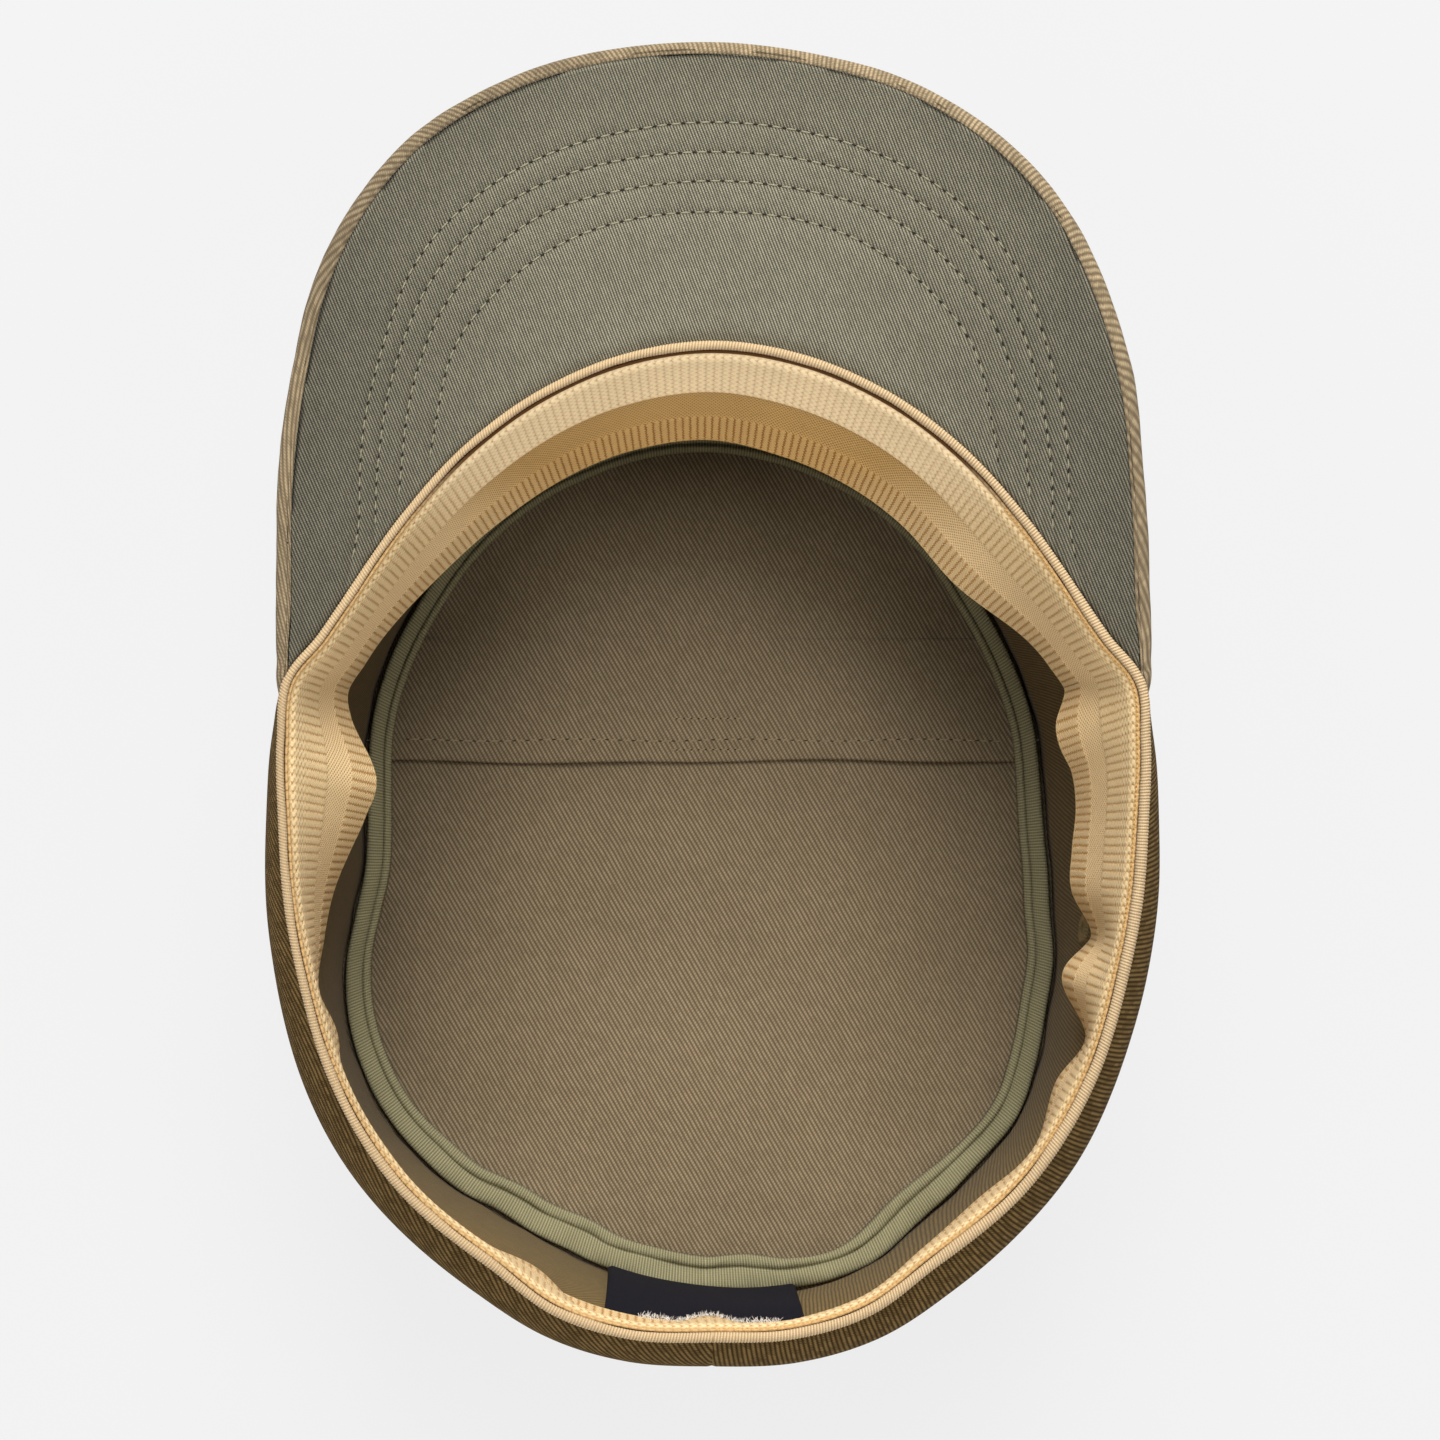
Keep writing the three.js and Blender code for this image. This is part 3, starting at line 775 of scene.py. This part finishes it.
def vent_frame(vent):
    """Centre of a vent in the middle of the wall, and the axes round it, the last one outwards."""
    turn, height = vent["turn"], vent["height"]
    reach = wall_reach(turn, height) - WALL / 2
    rise = wall_reach(turn, height + 2) - wall_reach(turn, height - 2)
    axis = polar(turn, 4, 0)
    axis[2] = -rise
    axis = unit(axis)
    side = unit(np.cross(axis, (0, 0, 1)))
    return polar(turn, reach, height), np.stack([side, np.cross(axis, side), axis])


def pierce(mesh, vent):
    """Cuts a vent's hole through both faces of the wall and joins their edges."""
    centre, axes = vent_frame(vent)
    form = bmesh.new()
    form.from_mesh(mesh)
    inside = []
    for face in form.faces:
        local = axes @ (np.array(face.calc_center_median()) / MM - centre)
        if abs(local[2]) < 4 and math.hypot(local[0], local[1]) < VENT["outer"] - 1.4:
            inside.append(face)
    bmesh.ops.delete(form, geom=inside, context="FACES")
    edges = [edge for edge in form.edges if edge.is_boundary]
    bmesh.ops.bridge_loops(form, edges=edges)
    bmesh.ops.recalc_face_normals(form, faces=form.faces)
    form.to_mesh(mesh)
    form.free()


def vent_eyelet(vent, finish):
    """A ring of threads sewn over the edge of a hole."""
    centre, axes = vent_frame(vent)
    around = np.linspace(0, TAU, VENT["threads"] * 6 + 1)[:, None]
    section = np.linspace(0, TAU, 17)[None, :]
    middle = (VENT["outer"] + VENT["hole"]) / 2
    half_wide = (VENT["outer"] - VENT["hole"]) / 2
    half_high = WALL / 2 + VENT["proud"]
    ridge = 1 + 0.09 * np.cos(around * VENT["threads"])
    x = middle + half_wide * np.sign(np.cos(section)) * np.abs(np.cos(section)) ** 0.7 * ridge
    z = half_high * np.sign(np.sin(section)) * np.abs(np.sin(section)) ** 0.6 * ridge
    local = together(x * np.cos(around), x * np.sin(around), z)
    points = centre + local @ axes
    layout = together(around * middle, section * half_wide)
    return cloth(f"vent_ring_{vent['side']}", points, layout, [finish])


# Crown


def crown_panels(finish):
    """The two panels of the flat top: a shallow dish with a rolled edge, parted at the cross seam."""
    turns = np.linspace(-180, 180, 481)[:, None]
    middle = CROWN_ROLL + CROWN_CLOTH / 2
    flat_end = seam_reach(turns) - middle
    bend = np.radians(np.linspace(0, 90, 9))[None, :]

    def face(radius, spread):
        rolled = polar(turns, flat_end + radius * np.sin(bend), middle - radius * np.cos(bend))
        level = polar(turns, flat_end * spread[None, :], middle - radius)
        return joined(level, rolled)

    outer = face(middle, np.array([0, 0.3, 0.6, 0.8, 0.9, 0.96]))
    inner = face(middle - CROWN_CLOTH, np.linspace(0, 0.985, 60))
    from_edge = np.broadcast_to(flat_end, inner.shape[:2]) - np.linalg.norm(inner[..., :2], axis=-1)
    calm = smooth_step(0, 14, from_edge)
    inner[..., 2] += 0.42 * (unevenness(inner, 42, seed=11) + 0.4) * calm
    near_seam = np.exp(-np.abs(from_edge - 4) / 7)
    inner[..., 2] += 0.3 * unevenness(inner, 9, seed=12) * near_seam * smooth_step(-2, 3, from_edge)
    points = joined(outer, inner[:, ::-1])
    flats = [polar(turns, run_along(side, axis=1), 0)[..., :2] for side in (outer, inner)]
    layout = joined(flats[0], flats[1][:, ::-1])
    meshes = []
    for name, cut, keep in (
        ("crown_front_cloth", CROSS_SEAM_Y - CROSS_SEAM_GAP, 1),
        ("crown_back_cloth", CROSS_SEAM_Y, -1),
    ):
        mesh = cloth(name, points, layout, [finish])
        form = bmesh.new()
        form.from_mesh(mesh)
        everything = list(form.verts) + list(form.edges) + list(form.faces)
        bmesh.ops.bisect_plane(
            form, geom=everything, plane_co=(0, cut * MM, 0), plane_no=(0, keep, 0), clear_outer=True
        )
        meshes.append(closed(form, mesh))
    return meshes


def crown_half_width(y):
    """How far the crown's outline reaches to the left and right at a place along the cap."""
    turns = np.linspace(10, 120, 400)
    sides = []
    for side in (-1, 1):
        outline = polar(turns * side, crown_reach(turns * side) - LAP["inset"], 0)
        sides.append(np.interp(y, outline[:, 1], np.abs(outline[:, 0])))
    return sides


def lap_top(x, y):
    """Height of the front panel where it rises over the back panel's seam allowance."""
    rise = smooth_step(LAP["rise_from"], LAP["fold"] - 2, y)
    sag = 0.12 * np.sin(x / 9.0) + 0.1 * np.sin(x / 4.1 + 1)
    return CROWN_CLOTH + 0.25 + (GAP + LAP["thick"] + sag) * rise


def crown_lap(finish):
    """The front panel's folded edge, which laps over the back panel across the cap."""
    across = np.linspace(-1, 1, 261)[:, None]
    near_fold = LAP["fold"] - np.array([2.2, 1.5, 1.0])
    y_top = np.concatenate([np.linspace(LAP["rise_from"], LAP["fold"] - 3, 30), near_fold])
    round_off = np.radians(np.linspace(80, -80, 7))
    half = LAP["thick"] / 2
    y = np.concatenate([
        y_top,
        LAP["fold"] - half + half * np.cos(round_off),
        np.linspace(LAP["fold"] - 1.5, LAP["under_from"], 4),
        [LAP["rise_from"], y_top[0]],
    ])
    left, right = crown_half_width(y)
    x = np.where(across < 0, across * right, across * left)
    drift = 0.3 * np.sin(x / 17.0) + 0.18 * np.sin(x / 7.0 + 2)
    y = np.broadcast_to(y, x.shape)
    top = lap_top(x, np.minimum(y, LAP["fold"] - 1.0))
    count = y_top.size
    z = top.copy()
    curl = slice(count, count + round_off.size)
    z[:, curl] = top[:, curl] - half + half * np.sin(round_off)
    under = slice(count + round_off.size, y.shape[1] - 2)
    z[:, under] = top[:, under] - LAP["thick"]
    z[:, -2] = CROWN_CLOTH - 0.5
    fade = smooth_step(LAP["rise_from"], LAP["fold"], y)
    points = together(x, y + drift * fade, z)
    points[:, -1] = points[:, 0]
    return cloth("crown_lap", points, points[..., :2].copy(), [finish])


def crown_rows():
    """The topstitch along the lap and the short rows in the middle of it: each one's line, the normals
    beside it and its pitch."""
    rows = []
    for row in CROWN_ROWS:
        x = np.linspace(row["from"], row["to"], 300)
        y = row["y"] + row["drift"] * np.sin(x / 6.0)
        line = together(x, y, lap_top(x, y))
        rows.append((line, np.broadcast_to((0.0, -0.05, 1.0), line.shape), row["pitch"]))
    return rows


# Binding


def seam_binding(finish):
    """A ribbed tape folded over the crown seam, with one sewn groove."""
    turns, passed = even_turns(crown_reach, whole_ribs(crown_reach, BINDING_RIB) * 4)
    back = (1 - np.cos(np.radians(turns))) / 2
    width = BINDING["width"] + (BINDING["back_width"] - BINDING["width"]) * back**2
    top = np.array([0, 0.04, 0.12, 0.2, 0.28, 0.335, 0.36, 0.385, 0.44, 0.55, 0.68, 0.8, 0.9, 0.97, 1.0])
    across = np.concatenate([top, [0.8, 0.4, 0.0]])[None, :]
    over = np.arange(across.size)[None, :] < top.size
    inner_part = across < BINDING_GROOVE
    start = np.where(inner_part, 0, BINDING_GROOVE)
    end = np.where(inner_part, BINDING_GROOVE, 1)
    hump = 1 - np.abs(2 * (across - start) / (end - start) - 1) ** 3
    edge = np.where(np.minimum(across, 1 - across) < 0.001, 0, 0.22)
    under = -0.45 * (1 - np.abs(2 * across - 1) ** 4)
    lift = np.where(over, edge + hump * np.where(inner_part, 0.62, 0.58), under)
    lift = np.broadcast_to(lift, (turns.size, across.size)).copy()
    rib = np.cos(TAU * passed / BINDING_RIB)
    lift += np.where(over, 0.045 * rib * hump, 0)
    height = BINDING["inner_height"] + (BINDING["outer_height"] - BINDING["inner_height"]) * across
    points = polar(turns, crown_reach(turns) - width * (1 - across), height + lift * BINDING["thick"])
    wavy = unevenness(points, 16, seed=21)
    rough = 0.18 + 0.75 * smooth_step(0.75, 1.0, back)
    follow = np.where(over, 1, 0.3)
    follow[:, -1] = 1
    points[..., 2] += rough * wavy * follow
    points[..., 2] += (rough - 0.18) * 0.35 * unevenness(points, 6, seed=23) * follow
    slide = (rough - 0.1) * unevenness(points, 19, seed=22)
    points += polar(turns, slide, 0) * (0.5 + 0.5 * (1 - across))[..., None]
    layout = together(passed, across * width)
    return cloth("binding_tape", points, layout, [finish])


# Sweatband and piping


def sweatband_path(turn, f):
    """The outer face of the sweatband at a turn and a part of its width from the piping."""
    start = PIPING["diameter"] * (1 + piping_swell(turn)) + SWEATBAND["clear"]
    limit = rim_reach(turn) - start
    stand_in = free_edge_in(turn) + SWEATBAND["start"] - start
    away = np.maximum(stand_in, 0)
    drop = np.sqrt(SWEATBAND["width"] ** 2 - away**2)
    height = rim_height(turn) - drop * f
    wanted = limit - stand_in * f ** SWEATBAND["curl"]
    above_wall = np.clip(height - wall_top(turn), 0, 1)
    reach = np.minimum(wanted, wall_reach(turn, height) - WALL - GAP + above_wall)
    return polar(turn, reach, height)


def band_thick(shown):
    """The sweatband's thickness, thin where it is sewn under the piping and along its free edge."""
    sewn = 0.35 + 0.65 * smooth_step(0, 2.5, shown)
    return SWEATBAND["thick"] * sewn * (1 - 0.75 * smooth_step(29.4, 30, shown) ** 2)


def sweatband_cloth(finish):
    """The elastic band: its relief follows the knit's columns, bars and ribs."""
    width = SWEATBAND["width"]
    columns = whole_ribs(rim_reach, SWEATBAND["pitch"])
    turns, _ = even_turns(rim_reach, columns * 5)
    column = np.linspace(0, columns, columns * 5 + 1)[:, None]
    shown = np.concatenate([
        np.linspace(0, KNIT_START, 8),
        np.linspace(2.2, SMOOTH_START - 0.6, 14),
        SMOOTH_START + np.array([-0.2, 0.2, 0.7]),
        np.linspace(16.5, RIBS_START - 0.7, 5),
        RIBS_START + np.array([-0.2, 0.2, 0.6]),
        np.linspace(24, EDGE_START - 0.5, 6),
        [EDGE_START, 29.6, 29.85, width],
    ])[None, :]
    f = shown / width
    path = sweatband_path(turns, f)
    inward = unit(np.cross(np.gradient(path, axis=1), np.gradient(path, axis=0)))
    inward *= np.sign(np.sum(inward * polar(turns, -1, 0.2), axis=-1, keepdims=True))
    crest = np.abs(np.sin(math.pi * (column + 0.25))) ** 0.35
    knit = smooth_step(KNIT_START - 0.4, KNIT_START + 0.5, shown)
    smooth = smooth_step(SMOOTH_START - 0.3, SMOOTH_START + 0.3, shown)
    ribs = smooth_step(RIBS_START - 0.3, RIBS_START + 0.3, shown)
    edge = smooth_step(EDGE_START - 0.1, EDGE_START + 0.2, shown)
    ribbed = knit * (1 - smooth) * 0.7 + ribs * (1 - edge)
    relief = 0.14 * (crest - 0.7) * ribbed - 0.14 * smooth * (1 - ribs) + 0.12 * edge
    face = path + inward * (band_thick(shown) + relief)[..., None]
    hidden = np.array([width, 24, 12, 0]) / width
    back = sweatband_path(turns, hidden[None, :])
    points = joined(face, back, face[:, :1])
    passed = column * SWEATBAND["pitch"]
    across = joined(shown, hidden[None, :] * width, [[0]])
    layout = together(passed, across)
    return cloth("elastic_sweatband", points, layout, [finish])


def chain_stitch(finish):
    """The chained thread that holds the sweatband, which shows along the right side and the back."""
    turns = even_turns(rim_reach, 1100, CHAIN_FROM, 180)[0].ravel()
    path = sweatband_path(turns, CHAIN_AT / SWEATBAND["width"])
    up = polar(turns, -0.75, 0.66)
    line = path + unit(up) * band_thick(CHAIN_AT)
    size = (0.9, 0.26, 0.26)
    groups = [lined_up(line, up, 0.95, size, slant=side * 22, side=side * 0.15) for side in (1, -1)]
    return threads("sweatband_chain_stitch", groups, finish)


def frayed_threads(finish):
    """White ends of thread along the sweatband's cut at the centre back."""
    draw = np.random.default_rng(31)
    groups = []
    for _ in range(420):
        turn = 180 + draw.uniform(-9, 9)
        turn = turn - 360 if turn > 180 else turn
        start = sweatband_path(turn, draw.uniform(0.93, 1.0)) + polar(turn, -SWEATBAND["thick"], 0)
        reach_in = unit(polar(turn + draw.uniform(-60, 60), -1, draw.uniform(-0.9, 0.6)))
        line = np.stack([start, start + reach_in * draw.uniform(0.6, 1.5)])
        up = np.broadcast_to(unit(draw.normal(size=3)), line.shape)
        length = np.linalg.norm(line[1] - line[0])
        groups.append(lined_up(line, up, length, (length, 0.1, 0.1)))
    return threads("frayed_threads", groups, finish)


def rim_piping(finish):
    """A cord wound with ribs along the whole rim."""
    turns, passed = even_turns(rim_reach, whole_ribs(rim_reach, PIPING["rib"]) * 4)
    section = np.linspace(0, TAU, PIPING["round_steps"] + 1)[None, :]
    swell = 1 + piping_swell(turns) + 0.05 * unevenness(polar(turns, rim_reach(turns), 0), 14, seed=41)
    winding = np.cos(TAU * passed / PIPING["rib"] + section * 0.9 * np.sin(section / 2))
    radius = PIPING["diameter"] / 2 * swell * (1 + 0.06 * winding)
    middle = rim_reach(turns) - PIPING["diameter"] / 2 * swell
    height = rim_height(turns) + GAP + radius * np.sin(section)
    points = polar(turns, middle + radius * np.cos(section), height)
    layout = together(passed, section * PIPING["diameter"] / 2)
    return cloth("rim_piping", points, layout, [finish])


# Peak


def peak_surface(points, depth):
    """Points of the plan, put on the peak's underside or a depth into the peak."""
    x, y = points[..., 0], points[..., 1]
    chord = np.sqrt(PEAK["arch_radius"] ** 2 - x**2)
    height = PEAK["start_height"] + PEAK["slope"] * (PEAK["start_y"] - y) + PEAK["arch_radius"] - chord
    normal = unit(together(-x / chord, PEAK["slope"], 1.0))
    return together(x, y, height) - normal * np.asarray(depth)[..., None]


def peak_roll(turn):
    """Width of the cover's rolled edge, which narrows where the peak runs into the wall."""
    return PEAK["roll"] * (1 - PEAK["roll_lost"] * smooth_step(*PEAK["roll_narrows"], np.abs(turn)))


def peak_root(turn, spare):
    """Where the peak's cloths start: under the piping, and no nearer to the peak's edge than spare."""
    return np.minimum(rim_reach(turn) - PEAK["under_piping"], peak_reach(turn) - spare)


def root_dip(turn, reach):
    """How far the peak's cloths dip to pass under the piping."""
    return PEAK["root_drop"] * (1 - smooth_step(-0.7, 0.3, reach - rim_reach(turn)))


def lining_hollow(turn, reach):
    """Soft hollows and swells of the lining, calm along its edge."""
    plan = polar(turn, reach, 0)
    calm = smooth_step(0.3, 5.0, peak_reach(turn) - peak_roll(turn) - reach)
    return -(0.1 * unevenness(plan, 13, seed=51) + 0.12 * unevenness(plan, 40, seed=52)) * calm


def stitch_lines(depth, hollow=False):
    """Each row of stitching on the peak, from the rim on one side to the rim on the other, with the
    normal of the underside beside it. hollow follows the lining's hollows."""
    lines = []
    for reach in stitch_reaches:
        turns = np.linspace(-58, 58, 1201)
        turns = turns[reach(turns) > rim_reach(turns) + STITCH["from_rim"]]
        plan = polar(turns, reach(turns), 0)
        sunk = lining_hollow(turns, reach(turns)) * hollow
        line = peak_surface(plan, depth + sunk)
        up = peak_surface(plan, np.full(turns.shape, -1.0)) - peak_surface(plan, np.zeros(turns.shape))
        lines.append((line, up, STITCH["pitch"]))
    return lines


def stitch_grooves(turns, reach, inner, width):
    """Depth of the grooves along the rows of stitching, which fade out at the cloth's inner edge."""
    depth = 0
    for row in stitch_reaches:
        bare = smooth_step(0.2, 2.0, row(turns) - inner)
        depth = depth + bare * np.exp(-(((reach - row(turns)) / width) ** 2))
    return STITCH["groove"] * depth


def peak_underside(finish):
    """The lining of the peak, with a shallow groove along each row of stitches."""
    turns, _ = even_turns(peak_reach, 420, -PEAK["lining_end"], PEAK["lining_end"])
    inner = peak_root(turns, peak_roll(turns) + 0.4)
    outer = peak_reach(turns) - peak_roll(turns) + 0.3
    rows = [np.clip(reach(turns), inner + 0.02, outer - 0.4) for reach in reversed(stitch_reaches)]
    rows = np.sort(np.concatenate(rows, axis=1), axis=1)
    rows = [rows[:, [k]] + STITCH["apart"] * k for k in range(rows.shape[1])]
    bounds = [inner, *rows, outer]
    spread = (1 - np.cos(np.linspace(0, 1, 12) * math.pi)) / 2
    spans = [low + (high - low) * spread[:-1] for low, high in zip(bounds, bounds[1:])]
    reach = joined(*spans, outer - np.array([[0.5, 0.22, 0.06, 0.0]]))
    plan = polar(turns, reach, 0)
    depth = lining_hollow(turns, reach) + root_dip(turns, reach) + stitch_grooves(turns, reach, inner, 0.75)
    face = peak_surface(plan, depth)
    back_reach = joined(outer, (inner + outer) / 2, inner)
    back_depth = PEAK["lining"] + root_dip(turns, back_reach)
    back = peak_surface(polar(turns, back_reach, 0), back_depth)
    points = joined(face, back, face[:, :1])
    return cloth("peak_lining_cloth", points, points[..., :2].copy(), [finish])


def peak_cover(finish):
    """Outer cloth of the peak over its board, rolled round the edge to the underside."""
    turns, _ = even_turns(peak_reach, 420, -PEAK["cover_end"], PEAK["cover_end"])
    edge = peak_reach(turns)
    thick, roll = PEAK["thick"], peak_roll(turns)
    inner = peak_root(turns, roll + 0.7)
    bed = PEAK["lining"] + GAP
    spread = np.linspace(0, 1, 36)[None, :]
    outer_reach = inner + (edge - thick / 2 - inner) * spread
    outer_depth = thick - stitch_grooves(turns, outer_reach, inner, 0.8)
    bend = np.radians(np.linspace(-75, 75, 11))[None, :]
    round_reach = edge - thick / 2 + thick / 2 * np.cos(bend)
    round_depth = thick / 2 - thick / 2 * np.sin(bend) + np.zeros_like(edge)
    lip = roll * np.array([[0.55, 0.7, 0.82, 0.9, 0.95, 0.95]])
    lip_depth = np.array([[-0.02, -0.1, -0.1, -0.09, -0.05, bed]])
    bed_reach = joined((inner + edge - roll) / 2, inner)
    reach = joined(outer_reach, round_reach, edge - lip, bed_reach, outer_reach[:, :1])
    under = np.full((turns.size, bed_reach.shape[1]), bed)
    depth = joined(outer_depth, round_depth, lip_depth + 0 * lip, under, outer_depth[:, :1])
    plan = polar(turns, reach, 0)
    wavy = 0.16 * unevenness(plan, 17, seed=61) + 0.09 * unevenness(plan, 6, seed=62)
    # The waves are faint on the lip and stop where it goes under the lining
    hidden = bed_reach.shape[1] + 2
    shown = np.ones(reach.shape)
    shown[:, 1 - hidden - lip.shape[1]:] = 0.1
    shown[:, -hidden:] = 0
    shown[:, 0] = 0
    points = peak_surface(plan, depth - wavy * shown)
    flat = polar(turns, inner + run_along(points, axis=1), 0)[..., :2]
    return cloth("peak_cover_cloth", points, flat, [finish])


# Label


def label_cloth(finish):
    """A folded navy tab that hangs from the binding against the back of the wall."""
    width, thick = LABEL["width"], LABEL["thick"]
    x = np.linspace(-width / 2, width / 2, 61)[:, None] + LABEL["centre_x"]
    height = np.linspace(LABEL["low"], LABEL["high"], 56)[None, :]
    turn = 180 - np.degrees(np.arcsin(-x / crown_reach(180.0)))
    turn = np.where(turn > 180, turn - 360, turn)
    base = wall_reach(turn, height) - WALL - GAP
    grid = polar(turn, base, height)
    bow = 0.35 * unevenness(grid, 30, seed=71) + 0.5
    edge = np.minimum(x - x[0], x[-1] - x)
    round_off = thick * (1 - 0.6 * np.exp(-edge / 0.25))
    face = polar(turn, base - bow - round_off, height)
    back = polar(turn, base, height)[:, ::-1]
    points = joined(face, back[:, ::11], face[:, :1])
    up = joined(height, height[:, ::-1][:, ::11], height[:, :1])
    layout = together(x, up)
    return cloth("size_tab", points, layout, [finish])


# The cap


crown_twill = twill("brown crown twill", tone(95, 81, 59), tone(160, 143, 115), (30, 0.88), (-62, 0.56))
wall_inside = twill(
    "dark wall twill", tone(75, 61, 34), tone(125, 104, 64), (0, 0.9), (70, 0.56), relief=0.07
)
wall_outside = twill(
    "outer wall twill", tone(56, 41, 18), tone(130, 105, 64), (0, 0.95), (62, 0.5),
    relief=0.16, slub=0.6, mottle=0.2, gloss=0.05,
)
peak_twill = twill(
    "tan peak twill", tone(106, 91, 68), tone(170, 150, 118), (-12, 0.9), (73, 0.6),
    relief=0.09, slub=0.5, patches=0.2, mottle=0.6,
)
lining_twill = twill(
    "grey green lining", tone(57, 59, 49), tone(176, 167, 143), (22, 0.565), (90, 0.46),
    relief=0.05, slub=0.2, patches=0.08,
)
knit = sweatband_finish()
piping_ribs = ribbed_finish("cream piping", tone(160, 129, 88), tone(216, 193, 156), PIPING["rib"], 0.25)
binding_ribs = ribbed_finish("green binding", tone(104, 101, 73), tone(166, 158, 124), BINDING_RIB, 0.0)
navy = label_finish()
vent_thread = thread_finish("dark vent thread", tone(120, 102, 68))
ochre_thread = thread_finish("ochre chain thread", tone(214, 170, 104))
brown_thread = thread_finish("brown topstitch", tone(140, 122, 92))
lining_thread = thread_finish("grey green topstitch", tone(144, 139, 115))
# Dark marks of painted shade in the needle holes
hole_shade = thread_finish("needle hole painted shade", tone(44, 38, 28), 0.95)
white_thread = thread_finish("white thread", tone(236, 232, 224))

piece(wall_cloth(wall_inside, wall_outside), "wall_twill", "side_band")
front_cloth, back_cloth = crown_panels(crown_twill)
piece(front_cloth, "crown_twill", "crown_top_front")
piece(back_cloth, "crown_twill", "crown_top_back")
piece(crown_lap(crown_twill), "crown_twill")
crown_stitching = crown_rows()
# Dark marks of painted shade in the crown's needle holes
crown_hole_shade = stitches("crown_needle_hole_shade", crown_stitching, hole_shade, (0.34, 0.36, 0.26), 1.0, 0.04)
piece(stitches("crown_topstitch", crown_stitching, brown_thread, (0.66, 0.34, 0.3)), "crown_twill")
piece(crown_hole_shade, "crown_twill")
piece(seam_binding(binding_ribs), "binding_tape", "seam_binding")
piece(sweatband_cloth(knit), "sweatband_knit", "sweatband")
piece(chain_stitch(ochre_thread), "sweatband_knit")
piece(frayed_threads(white_thread), "sweatband_knit")
piece(rim_piping(piping_ribs), "piping_rib", "sweatband_piping")
piece(peak_underside(lining_twill), "peak_lining", "peak_underside")
piece(peak_cover(peak_twill), "peak_twill", "peak_cover")
under_rows = stitch_lines(STITCH["sunk"], hollow=True)
over_rows = stitch_lines(PEAK["thick"] - STITCH["sunk"])
thread_size = (STITCH["length"] / STITCH["pitch"], STITCH["width"], 0.34)
hole_size = (STITCH["hole"] / STITCH["pitch"], 0.46, 0.4)
piece(stitches("peak_stitches_under", under_rows, lining_thread, thread_size), "peak_lining")
# Dark marks of painted shade in the peak's needle holes
piece(stitches("peak_needle_hole_shade", under_rows, hole_shade, hole_size, 1.0), "peak_lining")
piece(stitches("peak_stitches_over", over_rows, brown_thread, thread_size), "peak_twill")
piece(label_cloth(navy), "label_cloth", "size_label")
for vent in VENTS:
    piece(vent_eyelet(vent, vent_thread), "vent_thread", f"vent_eyelet_{vent['side']}")

# Floor, light and camera

floor_form = bmesh.new()
bmesh.ops.create_grid(floor_form, x_segments=1, y_segments=1, size=3)
floor_mesh = bpy.data.meshes.new("floor")
floor_form.to_mesh(floor_mesh)
floor_form.free()
# The floor glows a little, because the photograph's floor is even and has no shadow
paper = Finish("pale paper", roughness=1.0, sheen=0.0, gloss=0.0)
paper.surface.inputs["Base Color"].default_value = (0.06, 0.06, 0.06, 1)
paper.surface.inputs["Emission Color"].default_value = (1, 1, 1, 1)
paper.surface.inputs["Emission Strength"].default_value = 0.81
floor_mesh.materials.append(paper.material)
floor = placed("floor", floor_mesh)

scene = bpy.context.scene
scene.view_settings.view_transform = "Standard"
world = bpy.data.worlds.new("soft studio")
world.use_nodes = True
sky = world.node_tree.nodes["Background"].inputs
sky["Color"].default_value = (1, 1, 1, 1)
sky["Strength"].default_value = 0.03
scene.world = world

# Square soft boxes aimed at the middle of the cap
SOFT_BOX = {"size": 0.9, "away": 1.9, "aim": (0, 0, 0.03)}
SOFT_BOXES = (
    ("name", "turn", "elevation", "watts"),
    ("high soft box", 0, 72, 7),
    ("front soft box", 0, 55, 20.4),
    ("low front soft box", 0, 30, 28.8),
    ("low back soft box", 180, 15, 18),
    ("left soft box", 270, 55, 7.2),
    ("right soft box", 90, 55, 7.9),
)
for name, turn, elevation, watts in SOFT_BOXES[1:]:
    light = bpy.data.lights.new(name, "AREA")
    light.size = SOFT_BOX["size"]
    light.energy = watts
    lamp = placed(name, light)
    up = math.radians(elevation)
    beside = Vector(polar(turn, math.cos(up), math.sin(up))) * SOFT_BOX["away"]
    lamp.location = Vector(SOFT_BOX["aim"]) + beside
    lamp.rotation_euler = (-beside).to_track_quat("-Z", "Y").to_euler()

eye = Vector((0.0208, -0.032, 0.988))
target = Vector((-0.0012, -0.032, 0.088))
ahead = (target - eye).normalized()
right = ahead.cross(Vector((0, -1, 0))).normalized()
above = right.cross(ahead)
camera_data = bpy.data.cameras.new("camera")
camera_data.lens = 112.5
camera_data.sensor_width = 36
camera = placed("camera", camera_data)
camera.matrix_world = Matrix.Translation(eye) @ Matrix((right, above, -ahead)).transposed().to_4x4()
scene.camera = camera
